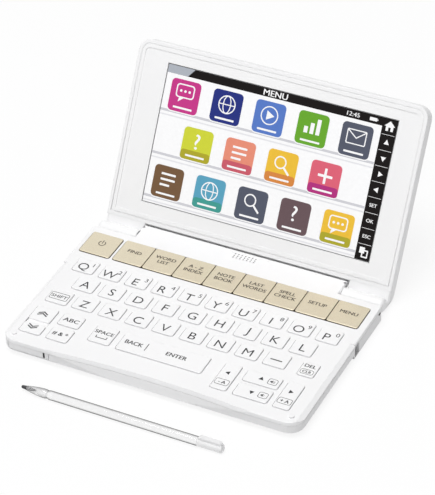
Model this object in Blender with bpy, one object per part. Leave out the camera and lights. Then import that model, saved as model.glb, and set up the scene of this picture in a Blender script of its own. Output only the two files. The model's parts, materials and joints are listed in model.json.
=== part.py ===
"""Electronic dictionary: a keyboard base, a hinged lid with the screen, and a stylus on the table in front.

The origin is on the table, straight below the lid's hinge axis and midway between the case's sides.
X runs to the right, Y to the back and Z up. Lengths are in metres, written in millimetres through MM.
"""

import math

import bmesh
import bpy
from mathutils import Matrix, Vector

MM = 0.001

# Fits that every piece shares
FIT = 0.3 * MM
CUT_OVERRUN = 1.0 * MM
JOIN_OVERLAP = 0.2 * MM
WELD_DISTANCE = 0.001 * MM
FLAT_ANGLE = math.radians(0.5)
SMOOTH_ANGLE = math.radians(35.0)

# Case, seen from above and from the side
CASE_WIDTH = 147.0 * MM
AXIS_TO_FRONT = 92.4 * MM
CASE_HEIGHT = 8.5 * MM
REAR_WALL_TO_AXIS = 3.9 * MM
BRIDGE_BEHIND_AXIS = 4.9 * MM
FRONT_CORNER_RADIUS = 7.0 * MM
REAR_CORNER_RADIUS = 1.2 * MM
BRIDGE_CORNER_RADIUS = 1.0 * MM
SEAM_HEIGHT = 6.3 * MM
DECK_SKIN = 1.1 * MM
DECK_EDGE_ROUNDING = 0.4 * MM
CASE_BOTTOM_ROUNDING = 0.8 * MM
SIDE_WALL = 1.3 * MM
FRONT_WALL = 4.3 * MM
REAR_WALL = 1.0 * MM
FLOOR = 1.0 * MM
FRONT_RISE = 2.0 * MM
RISE_TO_FRONT = 58.2 * MM
CORNER_STEPS = 6
SMALL_CORNER_STEPS = 2

# The front face leans back in a shallow scoop, and both sides have a sloping shoulder
SCOOP_CHORD = 105.0 * MM
SCOOP_DEPTH = 2.5 * MM
SCOOP_STEPS = 14
SHOULDER_WIDTH = 2.0 * MM
SHOULDER_DROP = 1.2 * MM
SHOULDER_LENGTH = 58.8 * MM

# Lid
HINGE_HEIGHT = 5.0 * MM
LID_OPEN_ANGLE = math.radians(120.76)
LID_SIDE_INSET = 0.5 * MM
LID_TIP_SETBACK = 1.1 * MM
LID_THICKNESS = 7.2 * MM
CLOSED_GAP = 1.0 * MM
LID_CUTOUT = 6.3 * MM
LID_RIM = 1.6 * MM
LID_BACK_WALL = 1.2 * MM
LID_TIP_RADIUS = 6.0 * MM
LID_EDGE_ROUNDING = 1.6 * MM
LID_RIM_ROUNDING = 0.3 * MM
LID_ROUNDING_STEPS = 3
LID_LEG_WIDTH = 20.6 * MM
LEG_TO_BRIDGE = 0.5 * MM
LEG_INSET = 0.05 * MM
KNUCKLE_RADIUS = 3.6 * MM
KNUCKLE_WRAP = math.radians(55.0)
KNUCKLE_ROUNDING = 0.5 * MM
KNUCKLE_STEPS = 16
HEEL_RADIUS = 5.0 * MM
HEEL_FROM_AXIS = 4.7 * MM
HEEL_STEPS = 5
SKIRT_FROM_AXIS = 3.0 * MM
SKIRT_THICKNESS = 2.0 * MM
SKIRT_STEPS = 4

# Bezel, screen and its window, measured along the lid from the hinge axis
BEZEL_BOTTOM = 8.6 * MM
BEZEL_SKIN = 1.2 * MM
BEZEL_SKIRT = 1.0 * MM
BEZEL_BORDER = 1.8 * MM
BEZEL_STEP = 0.3 * MM
BEZEL_EDGE_ROUNDING = 0.2 * MM
WINDOW_FROM_LEFT = 16.1 * MM
WINDOW_FROM_RIGHT = 13.1 * MM
WINDOW_BOTTOM = 16.3 * MM
WINDOW_FROM_TIP = 8.6 * MM
SCREEN_RECESS = 0.4 * MM
SCREEN_MARGIN = 3.0 * MM
SCREEN_BODY = 2.6 * MM
LID_RIB_SPACING = 60.0 * MM
LID_RIB_WIDTH = 1.2 * MM
LID_RIB_LENGTH = 56.0 * MM

# Hinge: a steel shaft on the right, a hollow moulded trunnion on the left that lets the cable through
SHAFT_RADIUS = 1.2 * MM
SHAFT_LENGTH = 20.0 * MM
SHAFT_CHAMFER = 0.3 * MM
TRUNNION_RADIUS = 2.2 * MM
TRUNNION_BORE_RADIUS = 1.2 * MM
TRUNNION_LENGTH = 10.0 * MM
EAR_THICKNESS = 3.0 * MM
EAR_DEPTH = 7.0 * MM
ROUND_SIDES = 24
SMALL_ROUND_SIDES = 12
PAD_SIDES = 8

# Keys: a grid of columns and rows that fills the deck between these margins
KEY_COLUMNS = 10
KEY_ROWS = 6.5
ROWS_IN_FRONT = 4
KEYS_FROM_LEFT = 6.2 * MM
KEYS_FROM_RIGHT = 4.1 * MM
KEYS_FROM_FRONT = 6.8 * MM
KEYS_FROM_AXIS = 7.6 * MM
KEY_PROUD = 0.5 * MM
KEY_CORNER_RADIUS = 1.0 * MM
KEY_TOP_ROUNDING = 0.35 * MM
KEY_BELOW_DECK = 2.0 * MM
KEY_FLANGE = 0.5 * MM
KEY_FLANGE_THICKNESS = 0.6 * MM
KEY_TRAVEL = 0.7 * MM
ROCKER_DROP = 0.2 * MM
PAD_CLEARANCE = 0.05 * MM
PAD_RADIUS = 2.0 * MM
PAD_HEIGHT = 0.3 * MM
MAT_THICKNESS = 0.4 * MM
MAT_SIDE_MARGIN = 7.5 * MM
MAT_END_MARGIN = 0.6 * MM

# Left, right, back and front edge of each key, in columns and rows from the key origin
LETTER_ROWS = ("qwertyuiop", "asdfghjkl", "zxcvbnm-")
LETTER_ROW_SHIFT_SHARE = 0.478
LETTER_WIDTH_SHARE = 0.772
LETTER_DEPTH_SHARE = 0.76
FUNCTION_KEYS = 8
FUNCTION_LEFT_SHARE = 0.99
FUNCTION_PITCH_SHARE = 1.134
FUNCTION_BACK_SHARE = -2.445
FUNCTION_FRONT_SHARE = -1.17
CONTROL_KEY_SHARES = {
    "power_key": (-0.28, 0.87, -2.43, -1.15),
    "shift_key": (-0.02, 0.765, 1.28, 2.04),
    "page_scroll_rocker": (-0.05, 0.73, 2.40, 3.96),
    "character_key": (0.965, 1.73, 2.40, 3.07),
    "symbol_key": (0.96, 1.72, 3.22, 3.96),
    "space_key": (2.26, 3.04, 2.486, 3.44),
    "back_enter_key": (3.29, 6.39, 2.50, 3.45),
    "delete_key": (9.19, 9.75, 1.27, 2.03),
    "left_key": (6.93, 7.50, 2.485, 3.94),
    "right_key": (9.15, 9.71, 2.51, 3.97),
    "up_key": (7.73, 8.95, 2.51, 3.13),
    "down_key": (7.735, 8.93, 3.28, 3.96),
}
GOLD_KEYS = ("power_key",)
TWO_PAD_SHARE = 0.6

# Circuit board, its parts and the battery
BOARD_THICKNESS = 0.75 * MM
CHIP_THICKNESS = 0.7 * MM
MAIN_CHIP_SIZE = 14.0 * MM
MAIN_CHIP_X = -12.0 * MM
MEMORY_CHIP_SIZE = 9.0 * MM
MEMORY_CHIP_X = 16.0 * MM
CHIP_FROM_FRONT = 32.0 * MM
BATTERY_WIDTH = 104.0 * MM
BATTERY_CORNER_RADIUS = 2.0 * MM
BATTERY_EDGE_ROUNDING = 0.5 * MM
FLOOR_RIB_WIDTH = 1.2 * MM
FLOOR_RIB_LENGTH = 40.0 * MM
FLOOR_RIB_SPACING = 52.0 * MM
FLOOR_RIB_FROM_FRONT = 12.0 * MM

# Speaker under the bridge, with its holes through the deck
SPEAKER_X = 1.9 * MM
SPEAKER_LENGTH = 16.0 * MM
SPEAKER_WIDTH = 7.0 * MM
SPEAKER_HEIGHT = 3.0 * MM
SPEAKER_RING = 1.2 * MM
SPEAKER_RING_HEIGHT = 0.5 * MM
SPEAKER_HOLE_RADIUS = 0.4 * MM
SPEAKER_HOLE_PITCH = 1.75 * MM
SPEAKER_ROW_PITCH = 1.3 * MM
SPEAKER_COLUMNS = 7
SPEAKER_ROWS = 3
SPEAKER_BACK_ROW_FROM_EDGE = 1.6 * MM

# Stylus and the bay that takes it, open at the right side
STYLUS_RADIUS = 2.15 * MM
STYLUS_LENGTH = 99.0 * MM
STYLUS_CONE = 10.5 * MM
STYLUS_TIP_RADIUS = 1.05 * MM
STYLUS_GROOVE_FROM_TIP = 13.0 * MM
STYLUS_GROOVE_WIDTH = 0.8 * MM
STYLUS_GROOVE_DEPTH = 0.25 * MM
STYLUS_END_ROUNDING = 0.9 * MM
STYLUS_RIB_LENGTH = 12.0 * MM
STYLUS_RIB_WIDTH = 1.6 * MM
STYLUS_RIB_PROUD = 1.3 * MM
STYLUS_X = -2.0 * MM
STYLUS_IN_FRONT = 20.0 * MM
STYLUS_YAW = math.radians(-0.7)
STYLUS_STEPS = 20
NIB_RADIUS = 0.6 * MM
NIB_LENGTH = 3.0 * MM
NIB_STEM_RADIUS = 0.4 * MM
NIB_STEM_LENGTH = 4.0 * MM
BAY_SIDE_CLEARANCE = 0.15 * MM
BAY_WALL = 0.7 * MM
BAY_FLOOR = 0.5 * MM
BAY_DEPTH_FROM_SIDE = 100.3 * MM
BAY_HEIGHT = 4.5 * MM
BAY_MOUTH_RISE = 0.5 * MM
BAY_BLOCK_BELOW_BOARD = 0.05 * MM

# Card slot cover at the front left
COVER_LEFT_FROM_SIDE = 3.5 * MM
COVER_WIDTH = 21.5 * MM
COVER_BOTTOM_WALL = 0.9 * MM
NICK_WIDTH = 1.0 * MM
NICK_HEIGHT = 2.9 * MM
NICK_DEPTH = 0.8 * MM
NICK_FROM_END = 1.8 * MM
COVER_TAB_WIDTH = 12.0 * MM
COVER_TAB_HEIGHT = 1.2 * MM
COVER_TAB_LENGTH = 6.0 * MM

# Screw posts, feet, lid stops and the strap hole
POST_RADIUS = 1.6 * MM
POST_FROM_SIDE = 3.2 * MM
POST_FROM_FRONT = (8.4 * MM, 37.4 * MM, 66.1 * MM)
DECK_POST_LENGTH = 1.4 * MM
SCREW_HOLE_RADIUS = 0.8 * MM
FOOT_RADIUS = 4.0 * MM
FOOT_FROM_SIDE = 12.0 * MM
FOOT_FROM_FRONT = 9.0 * MM
STOP_RADIUS = 1.2 * MM
STOP_HEIGHT = 0.7 * MM
STOP_FROM_SIDE = 5.1 * MM
STOP_FROM_FRONT = 4.4 * MM
STRAP_HOLE_FROM_REAR = 1.6 * MM
STRAP_HOLE_LENGTH = 2.0 * MM
STRAP_HOLE_HEIGHT = 1.1 * MM
STRAP_HOLE_BELOW_SEAM = 0.2 * MM

# Places that follow from the sizes above
HALF_WIDTH = CASE_WIDTH / 2
FRONT_Y = -AXIS_TO_FRONT
REAR_Y = -REAR_WALL_TO_AXIS
RISE_Y = FRONT_Y + RISE_TO_FRONT
SKIN_UNDERSIDE = CASE_HEIGHT - DECK_SKIN
DECK_RIM_BOTTOM = SEAM_HEIGHT + FIT
INNER_HALF_WIDTH = HALF_WIDTH - SIDE_WALL
INNER_FRONT_Y = FRONT_Y + FRONT_WALL
INNER_REAR_Y = REAR_Y - SIDE_WALL
LID_HALF = HALF_WIDTH - LID_SIDE_INSET
LID_REACH = AXIS_TO_FRONT - LID_TIP_SETBACK
LID_LEG_INNER = LID_HALF - LID_LEG_WIDTH
BRIDGE_WIDTH = 2 * (LID_LEG_INNER - LEG_TO_BRIDGE)
BRIDGE_INNER_Y = BRIDGE_BEHIND_AXIS - REAR_WALL
BRIDGE_INNER_HALF = BRIDGE_WIDTH / 2 - SIDE_WALL
FRONT_FLOOR_TOP = FRONT_RISE + FLOOR
COLUMN_PITCH = (CASE_WIDTH - KEYS_FROM_LEFT - KEYS_FROM_RIGHT) / KEY_COLUMNS
ROW_PITCH = (AXIS_TO_FRONT - KEYS_FROM_FRONT - KEYS_FROM_AXIS) / KEY_ROWS
KEY_ORIGIN_X = -HALF_WIDTH + KEYS_FROM_LEFT
KEY_ORIGIN_Y = FRONT_Y + KEYS_FROM_FRONT + ROWS_IN_FRONT * ROW_PITCH
KEY_TOP = CASE_HEIGHT + KEY_PROUD
KEY_BOTTOM = CASE_HEIGHT - KEY_BELOW_DECK
ROCKER_AXIS_HEIGHT = KEY_BOTTOM - ROCKER_DROP + KEY_FLANGE_THICKNESS / 2
PAD_TOP = KEY_BOTTOM - KEY_TRAVEL - PAD_CLEARANCE
MAT_TOP = PAD_TOP - PAD_HEIGHT
MAT_BOTTOM = MAT_TOP - MAT_THICKNESS
BOARD_TOP = MAT_BOTTOM - FIT
BOARD_BOTTOM = BOARD_TOP - BOARD_THICKNESS
BAY_FRONT_Y = RISE_Y + BAY_WALL
BAY_BACK_Y = BAY_FRONT_Y + 2 * (STYLUS_RADIUS + BAY_SIDE_CLEARANCE)
BAY_INNER_X = HALF_WIDTH - BAY_DEPTH_FROM_SIDE
BAY_BLOCK_TOP = BOARD_TOP - BAY_BLOCK_BELOW_BOARD
LID_FACE = CASE_HEIGHT + CLOSED_GAP - HINGE_HEIGHT
LID_OUTSIDE = LID_FACE + LID_THICKNESS
LID_FLOOR = LID_OUTSIDE - LID_BACK_WALL
WINDOW_LEFT = -LID_HALF + WINDOW_FROM_LEFT
WINDOW_RIGHT = LID_HALF - WINDOW_FROM_RIGHT
WINDOW_TOP = LID_REACH - WINDOW_FROM_TIP
BEZEL_HALF = LID_HALF - LID_RIM - FIT
BEZEL_TOP = LID_REACH - LID_RIM - FIT
SCREEN_FACE = LID_FACE + BEZEL_STEP + SCREEN_RECESS
SCREEN_FRONT = LID_FACE + BEZEL_SKIN + FIT
SCREEN_BACK = SCREEN_FRONT + SCREEN_BODY

parts = None
cutters = None


def new_collection(name):
    collection = bpy.data.collections.new(name)
    bpy.context.scene.collection.children.link(collection)
    return collection


def clear_scene():
    for obj in list(bpy.data.objects):
        bpy.data.objects.remove(obj, do_unlink=True)


def material(name, colour, roughness, metallic=0.0, transmission=0.0):
    found = bpy.data.materials.get(name)
    if found:
        return found
    made = bpy.data.materials.new(name)
    made.use_nodes = True
    shader = made.node_tree.nodes["Principled BSDF"]
    shader.inputs["Base Color"].default_value = (*colour, 1.0)
    shader.inputs["Roughness"].default_value = roughness
    shader.inputs["Metallic"].default_value = metallic
    shader.inputs["Transmission Weight"].default_value = transmission
    return made


def white_plastic():
    return material("white_plastic", (0.80, 0.80, 0.82), 0.42)


def gold_paint():
    return material("gold_paint", (0.62, 0.50, 0.30), 0.35, 0.6)


def finish_mesh(body, name):
    """The bmesh as a new mesh, with its faces pointing out and its flat faces whole."""
    bmesh.ops.remove_doubles(body, verts=body.verts, dist=WELD_DISTANCE)
    bmesh.ops.dissolve_limit(body, angle_limit=FLAT_ANGLE, verts=body.verts, edges=body.edges)
    bmesh.ops.recalc_face_normals(body, faces=body.faces)
    mesh = bpy.data.meshes.new(name)
    body.to_mesh(mesh)
    body.free()
    mesh.shade_smooth()
    mesh.set_sharp_from_angle(angle=SMOOTH_ANGLE)
    return mesh


def place(name, mesh, look):
    """A sub-part of the dictionary."""
    obj = bpy.data.objects.new(name, mesh)
    if look and not mesh.materials:
        mesh.materials.append(look)
    parts.objects.link(obj)
    return obj


def move_origin(obj, point):
    """Moves a sub-part's origin, with its mesh where it was."""
    obj.data.transform(Matrix.Translation(obj.location - Vector(point)))
    obj.location = point


def helper(name, mesh):
    """A shape that cuts or joins, and is no sub-part itself."""
    obj = bpy.data.objects.new(name, mesh)
    cutters.objects.link(obj)
    obj.hide_render = True
    obj.display_type = "WIRE"
    return obj


def split_faces(mesh):
    body = bmesh.new()
    body.from_mesh(mesh)
    bmesh.ops.triangulate(body, faces=body.faces)
    body.to_mesh(mesh)
    body.free()


def boolean(target, other, operation="DIFFERENCE"):
    """Cuts or joins at once, on triangles, and welds what lies closer together than the weld distance."""
    split_faces(target.data)
    modifier = target.modifiers.new(other.name, "BOOLEAN")
    modifier.operation = operation
    modifier.object = other
    modifier.solver = "EXACT"
    graph = bpy.context.evaluated_depsgraph_get()
    mesh = bpy.data.meshes.new_from_object(target.evaluated_get(graph))
    target.modifiers.remove(modifier)
    body = bmesh.new()
    body.from_mesh(mesh)
    bpy.data.meshes.remove(mesh)
    look = target.data.materials[0] if target.data.materials else None
    old = target.data
    target.data = finish_mesh(body, target.name)
    if look:
        target.data.materials.append(look)
    bpy.data.meshes.remove(old)


def cut(target, *others):
    for other in others:
        boolean(target, other)


def join(target, *others):
    for other in others:
        boolean(target, other, "UNION")


def arc(centre, radius, start, end, steps):
    """Points on a circle from the start angle to the end angle, both included."""
    turns = (start + (end - start) * step / steps for step in range(steps + 1))
    return [(centre[0] + radius * math.cos(turn), centre[1] + radius * math.sin(turn)) for turn in turns]


def rounded(corners, steps=CORNER_STEPS):
    """An outline through (x, y, radius) corners, each rounded by an arc of its radius."""
    outline = []
    for index, (x, y, radius) in enumerate(corners):
        here = Vector((x, y))
        if radius == 0:
            outline.append((x, y))
            continue
        before = Vector(corners[index - 1][:2])
        after = Vector(corners[(index + 1) % len(corners)][:2])
        to_before = (before - here).normalized()
        to_after = (after - here).normalized()
        half = to_before.angle(to_after) / 2
        centre = here + (to_before + to_after).normalized() * (radius / math.sin(half))
        first = here + to_before * (radius / math.tan(half)) - centre
        last = here + to_after * (radius / math.tan(half)) - centre
        start = math.atan2(first.y, first.x)
        turn = first.angle_signed(last)
        outline += arc(centre, radius, start, start - turn, steps)
    return outline


def rectangle(left, right, front, back, radius=0, steps=SMALL_CORNER_STEPS):
    corners = ((left, front), (right, front), (right, back), (left, back))
    return rounded([(x, y, radius) for x, y in corners], steps)


def prism_mesh(name, outlines, low, high):
    """Flat outlines, with any inner ones as holes, as a solid from low to high along Z."""
    flat = bpy.data.curves.new(name, "CURVE")
    flat.dimensions = "2D"
    flat.fill_mode = "BOTH"
    flat.extrude = (high - low) / 2
    for outline in outlines:
        spline = flat.splines.new("POLY")
        spline.points.add(len(outline) - 1)
        for point, (x, y) in zip(spline.points, outline):
            point.co = (x, y, 0.0, 1.0)
        spline.use_cyclic_u = True
    obj = bpy.data.objects.new(name, flat)
    obj.location.z = (low + high) / 2
    cutters.objects.link(obj)
    graph = bpy.context.evaluated_depsgraph_get()
    mesh = bpy.data.meshes.new_from_object(obj.evaluated_get(graph))
    mesh.transform(obj.matrix_world)
    bpy.data.objects.remove(obj, do_unlink=True)
    bpy.data.curves.remove(flat)
    body = bmesh.new()
    body.from_mesh(mesh)
    bpy.data.meshes.remove(mesh)
    return finish_mesh(body, name)


def prism(name, outlines, low, high):
    return helper(name, prism_mesh(name, outlines, low, high))


def prism_along_x(name, outline, low, high, roundings=()):
    """An outline of (y, z) points as a solid along X, with any (place, radius, steps) roundings."""
    mesh = prism_mesh(name, [outline], low, high)
    for place_x, radius, steps in roundings:
        round_loop(mesh, place_x, radius, steps)
    mesh.transform(Matrix(((0, 0, 1, 0), (1, 0, 0, 0), (0, 1, 0, 0), (0, 0, 0, 1))))
    return helper(name, mesh)


def prism_along_y(name, outline, low, high):
    """An outline of (x, z) points as a solid from low to high along Y."""
    mesh = prism_mesh(name, [outline], -high, -low)
    mesh.transform(Matrix(((1, 0, 0, 0), (0, 0, -1, 0), (0, 1, 0, 0), (0, 0, 0, 1))))
    return helper(name, mesh)


def add_box(body, low, high):
    """Adds a box between two corners to the bmesh, and returns its vertices."""
    size = Vector(high) - Vector(low)
    middle = (Vector(high) + Vector(low)) / 2
    made = bmesh.ops.create_cube(body, size=1.0)["verts"]
    bmesh.ops.scale(body, vec=size, verts=made)
    bmesh.ops.translate(body, vec=middle, verts=made)
    return made


def boxes(name, *corners):
    """Separate boxes, each given by its low and high corner, as one helper."""
    body = bmesh.new()
    for low, high in corners:
        add_box(body, low, high)
    return helper(name, finish_mesh(body, name))


def add_cylinder(body, middle, radius, length, axis="Z", sides=ROUND_SIDES):
    turn = {"Z": Matrix.Identity(3), "X": Matrix.Rotation(math.pi / 2, 3, "Y")}[axis]
    made = bmesh.ops.create_cone(
        body, cap_ends=True, segments=sides, radius1=radius, radius2=radius, depth=length
    )["verts"]
    bmesh.ops.rotate(body, cent=Vector(), matrix=turn, verts=made)
    bmesh.ops.translate(body, vec=Vector(middle), verts=made)


def cylinders(name, middles, radius, length, axis="Z", sides=ROUND_SIDES):
    """Separate cylinders of one size, each given by its middle, as one helper."""
    body = bmesh.new()
    for middle in middles:
        add_cylinder(body, middle, radius, length, axis, sides)
    return helper(name, finish_mesh(body, name))


def round_loop(mesh, height, width, steps):
    """Rounds the edges that lie at one height."""
    body = bmesh.new()
    body.from_mesh(mesh)
    level = [vert for vert in body.verts if abs(vert.co.z - height) < WELD_DISTANCE]
    edges = [edge for edge in body.edges if all(vert in level for vert in edge.verts)]
    edges = [edge for edge in edges if edge.calc_face_angle(0) > FLAT_ANGLE]
    bmesh.ops.bevel(body, geom=edges, offset=width, segments=steps, profile=0.5, affect="EDGES")
    body.to_mesh(mesh)
    body.free()
    mesh.shade_smooth()
    mesh.set_sharp_from_angle(angle=SMOOTH_ANGLE)


def case_outline(front=FRONT_Y, front_radius=FRONT_CORNER_RADIUS):
    """The case seen from above: straight sides, and the bridge that runs back between the lid's legs."""
    half_bridge = BRIDGE_WIDTH / 2
    return rounded(
        [
            (-HALF_WIDTH, front, front_radius),
            (HALF_WIDTH, front, front_radius),
            (HALF_WIDTH, REAR_Y, REAR_CORNER_RADIUS),
            (half_bridge, REAR_Y, 0),
            (half_bridge, BRIDGE_BEHIND_AXIS, BRIDGE_CORNER_RADIUS),
            (-half_bridge, BRIDGE_BEHIND_AXIS, BRIDGE_CORNER_RADIUS),
            (-half_bridge, REAR_Y, 0),
            (-HALF_WIDTH, REAR_Y, REAR_CORNER_RADIUS),
        ]
    )


def pocket_outline(front):
    """The room inside the walls, from the given front wall to the bridge's rear wall."""
    return [
        (-INNER_HALF_WIDTH, front),
        (INNER_HALF_WIDTH, front),
        (INNER_HALF_WIDTH, INNER_REAR_Y),
        (BRIDGE_INNER_HALF, INNER_REAR_Y),
        (BRIDGE_INNER_HALF, BRIDGE_INNER_Y),
        (-BRIDGE_INNER_HALF, BRIDGE_INNER_Y),
        (-BRIDGE_INNER_HALF, INNER_REAR_Y),
        (-INNER_HALF_WIDTH, INNER_REAR_Y),
    ]


def scoop_cutter():
    """A shallow arc that leans back from the front face's foot to the deck."""
    radius = (SCOOP_CHORD**2 / 4 + SCOOP_DEPTH**2) / (2 * SCOOP_DEPTH)
    reach = math.asin(SCOOP_CHORD / 2 / radius)
    middle = (0.0, FRONT_Y - radius)
    outline = arc(middle, radius, math.pi / 2 - reach, math.pi / 2 + reach, SCOOP_STEPS)
    outline += [(x, FRONT_Y - 2 * SCOOP_DEPTH) for x in (-SCOOP_CHORD / 2, SCOOP_CHORD / 2)]
    mesh = prism_mesh("front_scoop", [outline], FRONT_RISE - CUT_OVERRUN, CASE_HEIGHT + CUT_OVERRUN)
    lean = SCOOP_DEPTH / (CASE_HEIGHT - FRONT_RISE)
    for vert in mesh.vertices:
        vert.co.y += (vert.co.z - FRONT_RISE) * lean
    return helper("front_scoop", mesh)


def key_edges(shares):
    """Left, right, front and back of a key, from its shares of the column and row pitch."""
    left, right, back, front = shares
    return (
        KEY_ORIGIN_X + left * COLUMN_PITCH,
        KEY_ORIGIN_X + right * COLUMN_PITCH,
        KEY_ORIGIN_Y - front * ROW_PITCH,
        KEY_ORIGIN_Y - back * ROW_PITCH,
    )


def letter_key_shares():
    found = {}
    for row, letters in enumerate(LETTER_ROWS):
        for column, letter in enumerate(letters):
            left = column + row * LETTER_ROW_SHIFT_SHARE
            name = "key_dash" if letter == "-" else "key_" + letter
            found[name] = (left, left + LETTER_WIDTH_SHARE, row - LETTER_DEPTH_SHARE, row)
    return found


def function_key_edges():
    """The gold keys stand in one row, with only the running gap between them."""
    pitch = FUNCTION_PITCH_SHARE * COLUMN_PITCH
    first = KEY_ORIGIN_X + FUNCTION_LEFT_SHARE * COLUMN_PITCH
    front = KEY_ORIGIN_Y - FUNCTION_FRONT_SHARE * ROW_PITCH
    back = KEY_ORIGIN_Y - FUNCTION_BACK_SHARE * ROW_PITCH
    return [(first + i * pitch, first + (i + 1) * pitch - FIT, front, back) for i in range(FUNCTION_KEYS)]


def flanged_keys():
    """Every key that a flange holds under the deck, with its edges."""
    shares = {**letter_key_shares(), **CONTROL_KEY_SHARES}
    return {name: key_edges(share) for name, share in shares.items() if name not in GOLD_KEYS}


def gold_keys():
    found = {name: key_edges(CONTROL_KEY_SHARES[name]) for name in GOLD_KEYS}
    for index, edges in enumerate(function_key_edges()):
        found[f"function_key_{index + 1}"] = edges
    return found


def key_mesh(name, width, depth, flange, drop=0):
    """A cap centred on the origin, with its flange, if it has one, under the deck."""
    bottom = KEY_BOTTOM - drop
    shelf = bottom + KEY_FLANGE_THICKNESS
    x = width / 2 + flange
    y = depth / 2 + flange
    body = bmesh.new()
    add_box(body, (-x, -y, bottom), (x, y, shelf if flange else KEY_TOP))
    upright = [edge for edge in body.edges if edge.verts[0].co.xy == edge.verts[1].co.xy]
    bmesh.ops.bevel(
        body,
        geom=upright,
        offset=KEY_CORNER_RADIUS + flange,
        segments=SMALL_CORNER_STEPS,
        profile=0.5,
        affect="EDGES",
    )
    if flange:
        top = max(body.faces, key=lambda face: face.calc_center_median().z)
        bmesh.ops.inset_region(body, faces=[top], thickness=flange, use_even_offset=True)
        grown = bmesh.ops.extrude_face_region(body, geom=[top])["geom"]
        raised = [item for item in grown if isinstance(item, bmesh.types.BMVert)]
        bmesh.ops.translate(body, vec=(0, 0, KEY_TOP - shelf), verts=raised)
        if top.is_valid:
            bmesh.ops.delete(body, geom=[top], context="FACES_ONLY")
    mesh = finish_mesh(body, name)
    round_loop(mesh, KEY_TOP, KEY_TOP_ROUNDING, 1)
    return mesh


def make_keys():
    shared = {}
    for name, (left, right, front, back) in flanged_keys().items():
        drop = ROCKER_DROP if name == "page_scroll_rocker" else 0
        size = (round((right - left) / WELD_DISTANCE), round((back - front) / WELD_DISTANCE), drop)
        if size not in shared:
            shared[size] = key_mesh(name, right - left, back - front, KEY_FLANGE, drop)
        key = place(name, shared[size], white_plastic())
        key.location = ((left + right) / 2, (front + back) / 2, 0)
        if drop:
            move_origin(key, (*key.location.xy, ROCKER_AXIS_HEIGHT))
    for name, (left, right, front, back) in gold_keys().items():
        key = place(name, key_mesh(name, right - left, back - front, 0), gold_paint())
        key.location = ((left + right) / 2, (front + back) / 2, 0)


def key_openings():
    """One opening for each key, and one for the whole row of function keys."""
    edges = list(flanged_keys().values())
    gold = gold_keys()
    edges += [gold.pop(name) for name in GOLD_KEYS]
    row = list(gold.values())
    edges.append((row[0][0], row[-1][1], row[0][2], row[0][3]))
    radius = KEY_CORNER_RADIUS + FIT
    outlines = [rectangle(e[0] - FIT, e[1] + FIT, e[2] - FIT, e[3] + FIT, radius) for e in edges]
    return prism("key_openings", outlines, SKIN_UNDERSIDE - CUT_OVERRUN, CASE_HEIGHT + CUT_OVERRUN)


def speaker_holes():
    middles = []
    for row in range(SPEAKER_ROWS):
        for column in range(SPEAKER_COLUMNS):
            x = SPEAKER_X + (column - (SPEAKER_COLUMNS - 1) / 2) * SPEAKER_HOLE_PITCH
            y = BRIDGE_BEHIND_AXIS - SPEAKER_BACK_ROW_FROM_EDGE - row * SPEAKER_ROW_PITCH
            middles.append((x, y, CASE_HEIGHT - DECK_SKIN / 2))
    return cylinders("speaker_holes", middles, SPEAKER_HOLE_RADIUS, 2 * DECK_SKIN, sides=PAD_SIDES)


def side_shoulders():
    """A sloping shoulder along each side, which ends in a sharp edge before the hinge."""
    made = []
    for side in (-1, 1):
        edge = side * HALF_WIDTH
        slope = side * SHOULDER_WIDTH
        run = side * CUT_OVERRUN
        rise = CUT_OVERRUN * SHOULDER_DROP / SHOULDER_WIDTH
        outline = [
            (edge - slope - run, CASE_HEIGHT + rise),
            (edge + run, CASE_HEIGHT - SHOULDER_DROP - rise),
            (edge + run, CASE_HEIGHT + rise),
        ]
        end = FRONT_Y + SHOULDER_LENGTH
        name = "shoulder_right" if side > 0 else "shoulder_left"
        made.append(prism_along_y(name, outline, FRONT_Y - CUT_OVERRUN, end))
    return made


def post_places():
    x = HALF_WIDTH - POST_FROM_SIDE
    return [(side * x, FRONT_Y + distance) for side in (-1, 1) for distance in POST_FROM_FRONT]


def floor_top(y):
    return FRONT_FLOOR_TOP if y < RISE_Y else FLOOR


def upright(x, y, low, high):
    """Middle and length of an upright cylinder."""
    return (x, y, (low + high) / 2), high - low


def make_deck(scoop):
    mesh = prism_mesh("base_top_deck", [case_outline()], DECK_RIM_BOTTOM, CASE_HEIGHT)
    round_loop(mesh, CASE_HEIGHT, DECK_EDGE_ROUNDING, 2)
    deck = place("base_top_deck", mesh, white_plastic())
    start = DECK_RIM_BOTTOM - CUT_OVERRUN
    pocket = prism("deck_pocket", [pocket_outline(INNER_FRONT_Y)], start, SKIN_UNDERSIDE)
    cut(deck, pocket, key_openings(), speaker_holes(), *side_shoulders(), scoop)
    cut(deck, hinge_notch(), bay_mouth())
    for index, (x, y) in enumerate(post_places()):
        middle, length = upright(x, y, SKIN_UNDERSIDE - DECK_POST_LENGTH, SKIN_UNDERSIDE + JOIN_OVERLAP)
        name = f"deck_post_{index + 1}"
        join(deck, cylinders(name, [middle], POST_RADIUS, length, sides=SMALL_ROUND_SIDES))
    x = HALF_WIDTH - STOP_FROM_SIDE
    y = FRONT_Y + STOP_FROM_FRONT
    low, high = CASE_HEIGHT - JOIN_OVERLAP, CASE_HEIGHT + STOP_HEIGHT
    stops = [upright(side * x, y, low, high)[0] for side in (-1, 1)]
    join(deck, cylinders("lid_stops", stops, STOP_RADIUS, high - low, sides=SMALL_ROUND_SIDES))
    return deck


def hinge_notch():
    """Half-round relief in the deck's rim over the trunnion."""
    length = 2 * SIDE_WALL + 2 * CUT_OVERRUN
    middle = (-BRIDGE_WIDTH / 2 + SIDE_WALL / 2, 0, HINGE_HEIGHT)
    return cylinders("hinge_notch", [middle], TRUNNION_RADIUS + FIT, length, "X", SMALL_ROUND_SIDES)


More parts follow.
